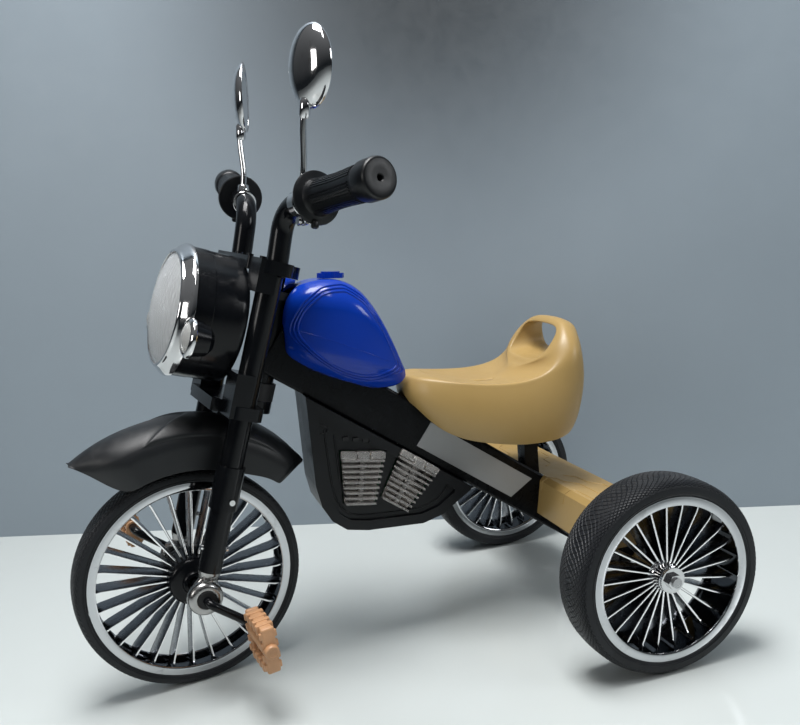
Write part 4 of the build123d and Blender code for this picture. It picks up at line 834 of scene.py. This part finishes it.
def make_saddle():
    """The saddle with its hoop, grab hole and drain slot."""
    bm = bmesh.new()
    net = sheet_of(bm, [saddle_rib(index) for index in range(len(SADDLE_RIBS))])
    first = min(HOLE_RIBS)
    last = max(HOLE_RIBS)
    backs, fronts = (
        [net[i][low].co.copy() for i in range(last, first - 1, -1)]
        + [net[i][high].co.copy() for i in range(first, last + 1)]
        for low, high in ((6, 7), (10, 9)))
    for pair in ((6, 7), (9, 10)):
        holes = [face for face in bm.faces
                 if sum(vert in {net[i][j] for i in HOLE_RIBS for j in pair} for vert in face.verts) == 4]
        bmesh.ops.delete(bm, geom=holes, context="FACES")
    steps = [[between(back, front, part) for back, front in zip(backs, fronts)]
             for part in (0.1, 0.5, 0.9)]
    sheet_of(bm, [backs, *steps, fronts])
    bmesh.ops.remove_doubles(bm, verts=bm.verts, dist=0.01)
    mirrored(bm)
    slot = [edge for edge in bm.edges if all(abs(vert.co.x) < 0.1 and -120 < vert.co.y < -99
                                             and 330 < vert.co.z < 334 for vert in edge.verts)]
    cut = bmesh.ops.bevel(bm, geom=slot, offset=4.5, affect="EDGES", segments=1, profile=0.5, material=-1)
    bmesh.ops.delete(bm, geom=cut["faces"], context="FACES")
    piece = finished("saddle", bm, finishes()["seat_tan"], "frame", BENCH, ["seat_shell"], crisp=0)
    solid_sheet(piece, 3.2)


# ------------------------------------------------------------------ fender
FENDER_FRONT = 36.3
FENDER_REAR = 122.5


def fender_edge(angle):
    """Radius of the fender's lower edge at an angle up from straight ahead, in degrees."""
    nose = 62 * (1 - ease(36, 47, angle)) ** 1.8
    return 149.5 + nose + 9 * ease(98, 116, angle) + 42 * ease(119, 122.6, angle) ** 1.8


def fender_point(angle, side, lift=0.0):
    """Point of the fender: side is 0 on its crown, 1 where its flank starts and 2 at its edge."""
    width = 41 * math.sqrt(ease(34, 53, angle)) * math.sqrt(1 - 0.8 * ease(117, 124, angle))
    edge = fender_edge(angle)
    crown = 210.8 - 2.6 * ease(40, 60, angle) - 4.2 * ease(108, FENDER_REAR, angle)
    shoulder = max(edge + 1, crown - 32)
    if side <= 1:
        bend = side * math.pi / 2
        out, across = shoulder + (crown - shoulder) * math.cos(bend), width * math.sin(bend)
    else:
        out, across = shoulder + (edge - shoulder) * (side - 1), width + 0.6 * (side - 1)
    turned = math.radians(angle)
    out += lift * math.cos(min(side, 1) * 1.2)
    return Vector((across + lift * 0.7 * min(1, side), -out * math.cos(turned), out * math.sin(turned)))


def make_fender():
    """Arched fender with a raised panel over its crown, narrowed where the fork legs pass."""
    sides = (0, 0.16, 0.33, 0.5, 0.62, 0.69, 0.715, 0.74, 0.80, 0.9, 1.0, 1.3, 1.65, 1.93, 2.0)
    leans = (-24, -20, -15, -9, -3, -0.4, 0.4, 3, 9, 17, 26, 34, 41, 47, 51, 53.5, 55, 56.2, 57)
    bm = bmesh.new()
    rows = []
    for lean in leans:
        row = []
        for side in sides:
            front = 78 - 25 * min(side, 1.0)
            if lean < 0:
                angle = front + lean * (front - FENDER_FRONT) / 24
            else:
                angle = front + lean * (FENDER_REAR - front) / 57
            raised = 3.0 if lean > 0 and side < 0.70 else 0.0
            row.append(fender_point(angle, side, raised * (1 - ease(100, 112, angle))))
        rows.append(row)
    sheet_of(bm, rows)
    for vert in bm.verts:
        if abs(vert.co.y) < 27.5 and vert.co.z < 205:
            vert.co.x = min(vert.co.x, 68 - math.sqrt(27.5 ** 2 - vert.co.y ** 2))
    mirrored(bm)
    piece = finished("fender_arch", bm, finishes()["fender_plastic"], "steering", FORK, ["front_fender"],
                     crisp=0)
    solid_sheet(piece, 2.4)


# ------------------------------------------------------------------ grips and mirrors
BAR_CORNER = Vector((68, 0, 465))
BAR_WAY = Vector((math.cos(math.radians(11.5)) * math.cos(math.radians(6.8)),
                  math.cos(math.radians(11.5)) * math.sin(math.radians(6.8)),
                  math.sin(math.radians(11.5))))
CLAMP = BAR_CORNER + BAR_WAY * 36.5
STEM_WAY = Vector((0.11, -math.sin(math.radians(13)), math.cos(math.radians(13)))).normalized()


def facing(along, upwards, origin):
    """A place whose X runs along a way and whose Z leans upwards."""
    along = Vector(along).normalized()
    back = Vector(upwards).cross(along).normalized()
    made = Matrix((along, back, along.cross(back))).transposed().to_4x4()
    made.translation = origin
    return made


def side_flip(side):
    """Mirror image for the right side."""
    return Matrix.Diagonal((1 if side == "left" else -1, 1, 1, 1))


def both_sides(bm):
    """Adds a mirrored copy of everything for the right side."""
    other = bmesh.ops.duplicate(bm, geom=bm.verts[:] + bm.edges[:] + bm.faces[:])["geom"]
    moved(bm, [item for item in other if isinstance(item, bmesh.types.BMVert)], side_flip("right"))


def make_grips():
    """Grips with a flange, ribbed windows and a thicker end with a hole in its cap."""
    looks = finishes()
    for side in ("left", "right"):
        bm = bmesh.new()
        lathe(bm, [(0, 12.9), (0, 27.5), (0.8, 28.7), (2.2, 29), (3.6, 28.4), (4.6, 26.5), (5.4, 23),
                   (6.6, 20.4), (9, 19.2), (12, 18.6)]
              + [(12 + 4.6 * part, 18.0 + 0.5 * math.cos(part * TURN / 18)) for part in range(1, 18)]
              + [(95.5, 18.6), (97.2, 19.4), (98.2, 20.6), (99.4, 21.0), (117, 21.0), (119, 20.5),
                 (120.4, 19.3), (121, 17.2), (120.6, 9.5), (120.3, 4.2), (119.4, 3.2), (113, 3.2),
                 (113, 12.9)],
              120, closed=True)
        bmesh.ops.recalc_face_normals(bm, faces=bm.faces)
        ribs = []
        for face in bm.faces:
            middle = face.calc_center_median()
            sector = math.atan2(middle.z, middle.y) / TURN * 120 % 20
            if 17 < middle.x < 92 and math.hypot(middle.y, middle.z) > 17 and 2 < sector < 18 \
                    and int(sector) % 3 != 2:
                ribs.append(face)
        bmesh.ops.inset_region(bm, faces=ribs, thickness=0.25, depth=0.9, use_even_offset=True)
        block(bm, (1, -4, -33.5), (8, 4, -24), 2.5, 3)
        moved(bm, bm.verts[:], facing(BAR_WAY, (0, 0, 1), BAR_CORNER + BAR_WAY * 68))
        moved(bm, bm.verts[:], side_flip(side))
        finished("grip_" + side, bm, looks["grip_rubber"], "steering", FORK, ["grip_" + side], crisp=28)


def mirror_place(height):
    """Place of the left mirror: X across, Y up and Z towards the rider."""
    toe = math.radians(26)
    back = Vector((-math.sin(toe), math.cos(toe), 0))
    back = (back - STEM_WAY * back.dot(STEM_WAY)).normalized()
    centre = CLAMP + STEM_WAY * (height + 33) + back * 8
    made = Matrix((-STEM_WAY.cross(back), STEM_WAY, back)).transposed().to_4x4()
    made.translation = centre
    return made


def make_mirrors():
    """Domed oval mirror heads on slim stems, each with a collar under its head."""
    looks = finishes()
    for side, height in (("left", 107), ("right", 97)):
        body = "mirror_" + side
        back = [(-15 * math.sin(step * math.pi / 28), math.cos(step * math.pi / 28) ** 0.8)
                for step in range(14)] + [(-15, 0.0)]
        rim = [(-2.7, 0.915), (-0.5, 0.925), (0.0, 0.945), (0.3, 0.975), (0.0, 0.995), (-0.8, 1.0),
               (-2.2, 0.998)]
        bm = bmesh.new()
        lathe(bm, rim + [(along, out) for along, out in back if along < -2.3], 96)
        moved(bm, bm.verts[:], mirror_place(height) @ Matrix.Diagonal((30, 43, 1, 1))
              @ Matrix.Rotation(-math.pi / 2, 4, "Y"))
        moved(bm, bm.verts[:], side_flip(side))
        finished("mirror_head_" + side, bm, looks["bright_steel"], body, FORK, ["mirror_shell_" + side],
                 crisp=40)
        bm = bmesh.new()
        bow = STEM_WAY.cross(BAR_WAY).normalized()
        stem = [CLAMP + STEM_WAY * (16 + (height - 16) * part / 16)
                + bow * 1.3 * math.sin(TURN * part / 16) * ease(0, 3, part) for part in range(17)]
        pulled_tube(bm, stem, 3.7, 16)
        moved(bm, lathe(bm, [(height - 19, 0.5), (height - 19, 4.6), (height - 16, 6.2), (height - 2, 6.2),
                             (height + 1, 4.5), (height + 1, 0.5)], 32, closed=True),
              facing(STEM_WAY, (0, 1, 0), CLAMP))
        moved(bm, bm.verts[:], side_flip(side))
        finished("mirror_stem_rod_" + side, bm, looks["bright_steel"], body, FORK, ["mirror_stem_" + side],
                 crisp=40)


def make_clamps():
    """Bright bands round the bars with a socket for each mirror stem and a bolt below."""
    bm = bmesh.new()
    along = facing(BAR_WAY, STEM_WAY, CLAMP)
    moved(bm, lathe(bm, [(-6.5, 12.75), (-6.5, 14.3), (-5.8, 15.0), (5.8, 15.0), (6.5, 14.3), (6.5, 12.75)],
                    72, closed=True), along)
    for low, high in ((-4.4, -1.6), (1.6, 4.4)):
        moved(bm, block(bm, (-6, low, -24), (6, high, -13.5), 0.9), along)
    bolt = facing((0, 1, 0), (0, 0, 1), (0, 0, -19))
    for profile, sides in (([(-7, 0.2), (-7, 4.0), (-4.4, 4.0), (-4.4, 0.2)], 24),
                           ([(4.4, 0.2), (4.4, 4.6), (8.0, 4.6), (8.0, 0.2)], 6),
                           ([(-5, 0.2), (-5, 2.5), (10.5, 2.5), (10.5, 0.2)], 20)):
        moved(bm, lathe(bm, profile, sides, closed=True), along @ bolt)
    moved(bm, lathe(bm, [(14, 4.2), (14, 8.0), (16, 7.6), (20.5, 7.2), (21.7, 6.4), (21.7, 4.2)], 40,
                    closed=True), facing(STEM_WAY, (0, 1, 0), CLAMP))
    both_sides(bm)
    finished("mirror_bands", bm, finishes()["bright_steel"], "steering", FORK, ["mirror_clamps"], crisp=30)


def make_dropouts():
    """Forged dropouts: a round eye for the crank's bush and a neck that swells into the leg."""
    for side in ("left", "right"):
        bm = bmesh.new()
        lathe(bm, [(65.0, 11.1), (65.0, 17.5), (65.8, 19.8), (68, 21.2), (71, 21.6), (76, 21.2),
                   (79.6, 19.4), (81.4, 16.6), (82.0, 13.6), (81.6, 11.6), (80.6, 11.1)], 72, closed=True)
        rings = [(67.0, 0, 14, 12.0), (67.4, 0, 18, 10.6), (67.8, 0, 22, 10.6), (68, 0, 26, 11.8),
                 (68, 0, 30, 13.4), (68, 0, 32.6, 13.95)]
        verts = pulled_tube(bm, [ring[:3] for ring in rings], 1.0, 40)
        for vert in verts:
            centre = min(rings, key=lambda ring: abs(ring[2] - vert.co.z))
            vert.co.x = centre[0] + (vert.co.x - centre[0]) * centre[3] * (0.72 if centre[2] < 25 else 1.0)
            vert.co.y *= centre[3] * (1.25 if centre[2] < 20 else 1.0)
        moved(bm, bm.verts[:], side_flip(side))
        finished("dropout_forging_" + side, bm, finishes()["satin_steel"], "steering", FORK,
                 ["dropout_" + side], crisp=40)


# ------------------------------------------------------------------ lamps
SIGNAL_ACROSS = 88
SIGNAL_HEIGHT = 303


def lamp_place(across=0.0, height=324.5):
    """Axis of a lamp in the fork frame, with X forwards."""
    return Matrix.Translation((across, 0, height)) @ Matrix.Rotation(-math.pi / 2, 4, "Z")


def dome(edge, radius, rise, rings, inwards=False):
    """Profile of a shallow dome from its rim to its middle, or the other way."""
    points = [(edge + rise * (1 - (1 - part / rings) ** 2), max(0.05, radius * (1 - part / rings)))
              for part in range(rings + 1)]
    return points[::-1] if inwards else points


def make_lamps():
    """Bezels, the headlight's fluted lens and the turn signals' clear lenses."""
    looks = finishes()
    bm = bmesh.new()
    moved(bm, lathe(bm, [(79.2, 73.6), (79.2, 77.8), (79.9, 78.5), (83.0, 78.5), (84.2, 78.0), (86.5, 76.4),
                         (92.0, 71.0), (93.6, 69.6), (94.2, 69.5), (95.4, 68.6), (96.0, 67.4), (95.9, 66.3),
                         (95.2, 65.8), (91.4, 65.7), (90.0, 61.6), (86.0, 66.0)], 144, closed=True),
          lamp_place())
    for sign in (-1, 1):
        moved(bm, lathe(bm, [(81.2, 18.4), (81.2, 22.5), (81.8, 23.0), (84.6, 23.0), (85.8, 22.4),
                             (87.6, 19.9), (88.0, 19.0), (87.5, 18.3)], 72, closed=True),
              lamp_place(sign * SIGNAL_ACROSS, SIGNAL_HEIGHT))
    finished("lamp_rims", bm, looks["bright_steel"], "steering", FORK, ["lamp_bezels"], crisp=34)
    bm = bmesh.new()
    lathe(bm, [(91.3, 65.4)] + dome(94, 65.4, 12.9, 40) + dome(91.2, 62, 12.4, 12, inwards=True), 168,
          closed=True)
    for vert in bm.verts:
        out = math.hypot(vert.co.y, vert.co.z)
        if vert.co.x > 93 + 12.9 * (1 - (out / 65.4) ** 2) and out < 63:
            vert.co.x += 0.5 * math.cos(TURN * vert.co.y / 6.6) * (1 - ease(57, 62, out))
    moved(bm, bm.verts[:], lamp_place())
    finished("headlight_glass", bm, looks["lens_plastic"], "steering", FORK, ["headlight_lens"], crisp=40)
    bm = bmesh.new()
    for sign in (-1, 1):
        moved(bm, lathe(bm, [(81.5, 0.05), (81.5, 17.7)] + dome(86.6, 17.7, 6.2, 12), 64),
              lamp_place(sign * SIGNAL_ACROSS, SIGNAL_HEIGHT))
    shell = bmesh.new()
    moved(shell, lathe(shell, [(15.8, 0.05), (15.8, 62), (16.6, 70.0), (18.6, 73.6), (22, 75.4), (26, 75.9),
                               (58, 75.9), (59, 76.5), (78.6, 76.5), (79.2, 75.8), (79.2, 73.5), (24, 73.0),
                               (18.4, 62), (18.4, 0.05)], 144), lamp_place())
    finished("headlight_barrel", shell, looks["black_plastic"], "steering", FORK, ["headlight_shell"],
             crisp=30)
    finished("signal_glasses", bm, looks["amber_plastic"], "steering", FORK, ["turn_signal_lenses"],
             crisp=40)


# ------------------------------------------------------------------ tank
def tank_outline(height_of, count=96):
    """Closed loop round the side of the tank, as (y, z), at a share of its outline."""
    stations = ((-376, 412, 444), (-368, 398, 472), (-352, 386, 486), (-328, 372, 491), (-300, 359, 488),
                (-278, 350, 475), (-259, 346, 449), (-245, 346, 419), (-235, 349, 391), (-228, 356, 370))
    loop = []
    for part in range(count):
        turned = TURN * part / count
        y = -302 - 73.5 * height_of * math.cos(turned)
        index = next(i for i in range(len(stations) - 1) if y <= stations[i + 1][0])
        share = (y - stations[index][0]) / (stations[index + 1][0] - stations[index][0])
        low, high = (stations[index][i] + (stations[index + 1][i] - stations[index][i]) * share
                     for i in (1, 2))
        loop.append((y, (low + high) / 2 + (high - low) / 2 * height_of * math.sin(turned)
                     * (1.0 if math.sin(turned) > 0 else 0.93)))
    return loop


def seen_from_side(node):
    """Tree of a frame node's faces, in bench millimetres."""
    bm = bmesh.new()
    bm.from_mesh(frame["nodes"][node].data)
    bm.transform(BENCH.inverted() @ frame["nodes"][node].matrix_world)
    tree = BVHTree.FromBMesh(bm)
    bm.free()
    return tree


def make_tank_lines():
    """Three raised lines round each side panel of the tank and its fine seam."""
    tree = seen_from_side("tank_shell")
    bm = bmesh.new()
    lines = [(tank_outline(share), 1.7) for share in (0.925, 0.865, 0.805)]
    seam = [(-367 + 2.2 * step, 437 - 0.82 * step - 0.004 * step * step) for step in range(60)]
    lines.append((seam, 0.35))
    for loop, radius in lines:
        points = []
        for y, z in loop:
            place = tree.ray_cast(Vector((150, y, z)), Vector((-1, 0, 0)))[0]
            if place is not None and place.x > 3:
                points.append(place - Vector((radius * 0.25, 0, 0)))
        if radius > 1:
            points.append(points[0])
        pulled_tube(bm, points, radius, 10, caps=radius < 1)
    both_sides(bm)
    finished("tank_lines", bm, finishes()["tank_blue"], "frame", BENCH, crisp=50)


# ------------------------------------------------------------------ casing
LENSES = (((-301, 238), -9.0), ((-240, 222), -37.0))


def make_lenses():
    """Clear finned cylinder lenses with a middle rib, over a dull plated backing whose dark tone is partly painted
    shade in the gaps between the fins.
    """
    clear, backing = bmesh.new(), bmesh.new()
    for (y, z), lean in LENSES:
        place = Matrix.Translation((0, y, z)) @ Matrix.Rotation(math.radians(lean), 4, "X")
        plate = block(backing, (30.2, -28, -34), (31.4, 28, 34), 0.4)
        for vert in plate:
            vert.co.y *= 0.86 + 0.14 * vert.co.z / 34
        moved(backing, plate, place)
        made = []
        for index in range(1, 10):
            height, reach = 30 - index * 7.1, 29 - index * 1.0
            made += block(clear, (31.8, -reach, height - 1.3), (42.6, reach, height + 1.3), 0.6)
        made += block(clear, (31.8, -29, 25), (41.5, -9, 34), 1.6)
        made += block(clear, (31.8, -7.5, 24), (43.0, 7.5, 34.5), 1.6)
        made += block(clear, (31.8, 9, 25), (41.5, 29, 34), 1.6)
        made += block(clear, (31.8, -2.4, -33), (38.0, 2.4, 26), 0.6)
        moved(clear, made, place)
    both_sides(clear)
    both_sides(backing)
    looks = finishes()
    finished("cylinder_glasses", clear, looks["fin_plastic"], "frame", BENCH, ["cylinder_lenses"], crisp=40)
    finished("lens_backings", backing, looks["lens_backing"], "frame", BENCH, crisp=30)


def make_casing_lines():
    """Raised lines inside the border of each casing half, and the catch near its top."""
    bm = bmesh.new()
    runs = [
        [(-342, 306), (-341, 262), (-340, 236), (-336.5, 215), (-331, 202), (-322, 192.5), (-311, 188),
         (-296, 185.5), (-262, 183), (-228, 181.5), (-214, 184), (-202, 189.5), (-192, 198), (-181, 212)],
        [(-330, 298), (-329, 240), (-325, 217), (-318, 205), (-308, 199.5)],
        [(-351, 316), (-340, 311), (-337.5, 308), (-338, 304), (-341, 302), (-351, 302), (-351, 316)],
    ]
    for run in runs:
        pulled_tube(bm, [(32.3, y, z) for y, z in run], 1.3, 10)
    both_sides(bm)
    finished("casing_lines", bm, finishes()["casing_plastic"], "frame", BENCH, crisp=40)


def make_cover_lines():
    """Raised creases over the rear cover and the lip round its lower edge."""
    tree = seen_from_side("rear_cover")
    bm = bmesh.new()
    runs = [
        [(26, -47), (44, -30), (58, -28), (74, -12), (118, -10), (134, 6), (178, 8)],
        [(26, -12), (40, 2), (66, 4), (80, 20), (112, 21)],
        [(90, -47), (104, -33), (150, -31), (166, -18), (184, -17)],
    ]
    for run in runs:
        points = []
        for (x, y), (next_x, next_y) in zip(run, run[1:]):
            for step in range(8):
                ground = between((x, y, 260), (next_x, next_y, 260), step / 8)
                place = tree.ray_cast(ground, Vector((0, 0, -1)))[0]
                if place is not None and place.z > 168:
                    points.append(place)
        pulled_tube(bm, points, 0.9, 8)
    both_sides(bm)
    finished("cover_lines", bm, finishes()["seat_tan"], "frame", BENCH, crisp=50)


# ------------------------------------------------------------------ pedals
def make_pedals():
    """Block pedals with cut-outs, cleats and a round end cap."""
    for side in ("left", "right"):
        centre = FORK.inverted() @ Vector(JOINTS["pedal_" + side + "_spin"]["pos_m"])
        bm = bmesh.new()
        for low, high in ((-30, -24), (24, 30)):
            block(bm, (low, -29, -8.0), (high, 29, 8.0), 2.6, 3)
            for middle in (-20, -7.5, 7.5, 20):
                block(bm, (low + 0.8, middle - 4.2, -10.4), (high - 0.8, middle + 4.2, 10.4), 1.2)
        for sign in (-1, 1):
            block(bm, (-25, sign * 23.5 - 5.0, -7.0), (25, sign * 23.5 + 5.0, 7.0), 1.8, 2)
            for step in range(4):
                middle = -16.5 + 11 * step
                block(bm, (middle - 3.2, sign * 23.5 - 6.0, -10.2),
                      (middle + 3.2, sign * 23.5 + 6.0, 10.2), 1.3)
        for middle in (-10, 10):
            block(bm, (middle - 1.6, -25, -5), (middle + 1.6, 25, 5), 0.6)
        lathe(bm, [(-31, 5.4), (-31, 8.2), (-30, 9.0), (30, 9.0), (32.6, 8.8), (34.6, 8.4), (35.6, 7.4),
                   (35.9, 5.0), (35.4, 4.4), (35.4, 0.05)], 40)
        place = FORK @ Matrix.Translation(centre) @ (
            side_flip(side) @ Matrix.Rotation(math.radians(112), 4, "X"))
        finished("pedal_block_" + side, bm, finishes()["pedal_tan"], "pedal_" + side, place,
                 ["pedal_" + side], crisp=35)


# ------------------------------------------------------------------ operators
class TRICYCLE_OT_stage(bpy.types.Operator):
    """Make the floor, the backdrop, the lights and the camera."""

    bl_idname = "tricycle.stage"
    bl_label = "Stage"

    def execute(self, context):
        make_camera()
        make_stage()
        return {"FINISHED"}


class TRICYCLE_OT_frame(bpy.types.Operator):
    """Give the frame's own nodes their finishes."""

    bl_idname = "tricycle.frame"
    bl_label = "Frame finishes"

    def execute(self, context):
        dress_nodes()
        return {"FINISHED"}


class TRICYCLE_OT_front_wheel(bpy.types.Operator):
    """Make the front tyre, rim and hub disc."""

    bl_idname = "tricycle.front_wheel"
    bl_label = "Front wheel"

    def execute(self, context):
        make_front_wheel()
        return {"FINISHED"}


class TRICYCLE_OT_rear_wheels(bpy.types.Operator):
    """Make the rear tyres, rims and hub caps."""

    bl_idname = "tricycle.rear_wheels"
    bl_label = "Rear wheels"

    def execute(self, context):
        make_rear_wheels()
        return {"FINISHED"}


class TRICYCLE_OT_saddle(bpy.types.Operator):
    """Make the saddle with its hoop and grab hole."""

    bl_idname = "tricycle.saddle"
    bl_label = "Saddle"

    def execute(self, context):
        make_saddle()
        return {"FINISHED"}


class TRICYCLE_OT_fender(bpy.types.Operator):
    """Make the fender over the front wheel."""

    bl_idname = "tricycle.fender"
    bl_label = "Fender"

    def execute(self, context):
        make_fender()
        return {"FINISHED"}


class TRICYCLE_OT_grips(bpy.types.Operator):
    """Make the grips of the handlebar."""

    bl_idname = "tricycle.grips"
    bl_label = "Grips"

    def execute(self, context):
        make_grips()
        return {"FINISHED"}


class TRICYCLE_OT_mirrors(bpy.types.Operator):
    """Make the mirror heads and stems."""

    bl_idname = "tricycle.mirrors"
    bl_label = "Mirrors"

    def execute(self, context):
        make_mirrors()
        return {"FINISHED"}


class TRICYCLE_OT_clamps(bpy.types.Operator):
    """Make the bands that hold the mirrors."""

    bl_idname = "tricycle.clamps"
    bl_label = "Mirror clamps"

    def execute(self, context):
        make_clamps()
        return {"FINISHED"}


class TRICYCLE_OT_lamps(bpy.types.Operator):
    """Make the lamps' bezels, barrel and lenses, and the forged dropouts."""

    bl_idname = "tricycle.lamps"
    bl_label = "Lamps"

    def execute(self, context):
        make_lamps()
        make_dropouts()
        return {"FINISHED"}


class TRICYCLE_OT_tank(bpy.types.Operator):
    """Make the raised lines of the tank."""

    bl_idname = "tricycle.tank"
    bl_label = "Tank lines"

    def execute(self, context):
        make_tank_lines()
        return {"FINISHED"}


class TRICYCLE_OT_casing(bpy.types.Operator):
    """Make the finned lenses and the lines of the casing and the rear cover."""

    bl_idname = "tricycle.casing"
    bl_label = "Casing"

    def execute(self, context):
        make_lenses()
        make_casing_lines()
        make_cover_lines()
        return {"FINISHED"}


class TRICYCLE_OT_pedals(bpy.types.Operator):
    """Make the pedals."""

    bl_idname = "tricycle.pedals"
    bl_label = "Pedals"

    def execute(self, context):
        make_pedals()
        return {"FINISHED"}


class TRICYCLE_PT_sidebar(bpy.types.Panel):
    """Sizes, colours and pieces of the tricycle."""

    bl_label = "Tricycle"
    bl_space_type = "VIEW_3D"
    bl_region_type = "UI"
    bl_category = "Tricycle"

    def draw(self, context):
        for operator in OPERATORS:
            self.layout.operator(operator.bl_idname)
        for group in (context.scene.tricycle_colours, context.scene.tricycle_sizes):
            for name in group.__annotations__:
                self.layout.prop(group, name)


OPERATORS = (
    TRICYCLE_OT_stage,
    TRICYCLE_OT_frame,
    TRICYCLE_OT_front_wheel,
    TRICYCLE_OT_rear_wheels,
    TRICYCLE_OT_saddle,
    TRICYCLE_OT_fender,
    TRICYCLE_OT_grips,
    TRICYCLE_OT_mirrors,
    TRICYCLE_OT_clamps,
    TRICYCLE_OT_lamps,
    TRICYCLE_OT_tank,
    TRICYCLE_OT_casing,
    TRICYCLE_OT_pedals,
)
CLASSES = (TricycleColours, TricycleSizes, *OPERATORS, TRICYCLE_PT_sidebar)


def register():
    """Register the classes and the scene's settings."""
    for cls in CLASSES:
        bpy.utils.register_class(cls)
    bpy.types.Scene.tricycle_colours = PointerProperty(type=TricycleColours)
    bpy.types.Scene.tricycle_sizes = PointerProperty(type=TricycleSizes)


def unregister():
    """Take the settings and the classes away."""
    del bpy.types.Scene.tricycle_sizes
    del bpy.types.Scene.tricycle_colours
    for cls in reversed(CLASSES):
        bpy.utils.unregister_class(cls)


def main():
    """Build every piece in order."""
    register()
    for operator in OPERATORS:
        family, name = operator.bl_idname.split(".")
        getattr(getattr(bpy.ops, family), name)()


if __name__ == "__main__":
    main()
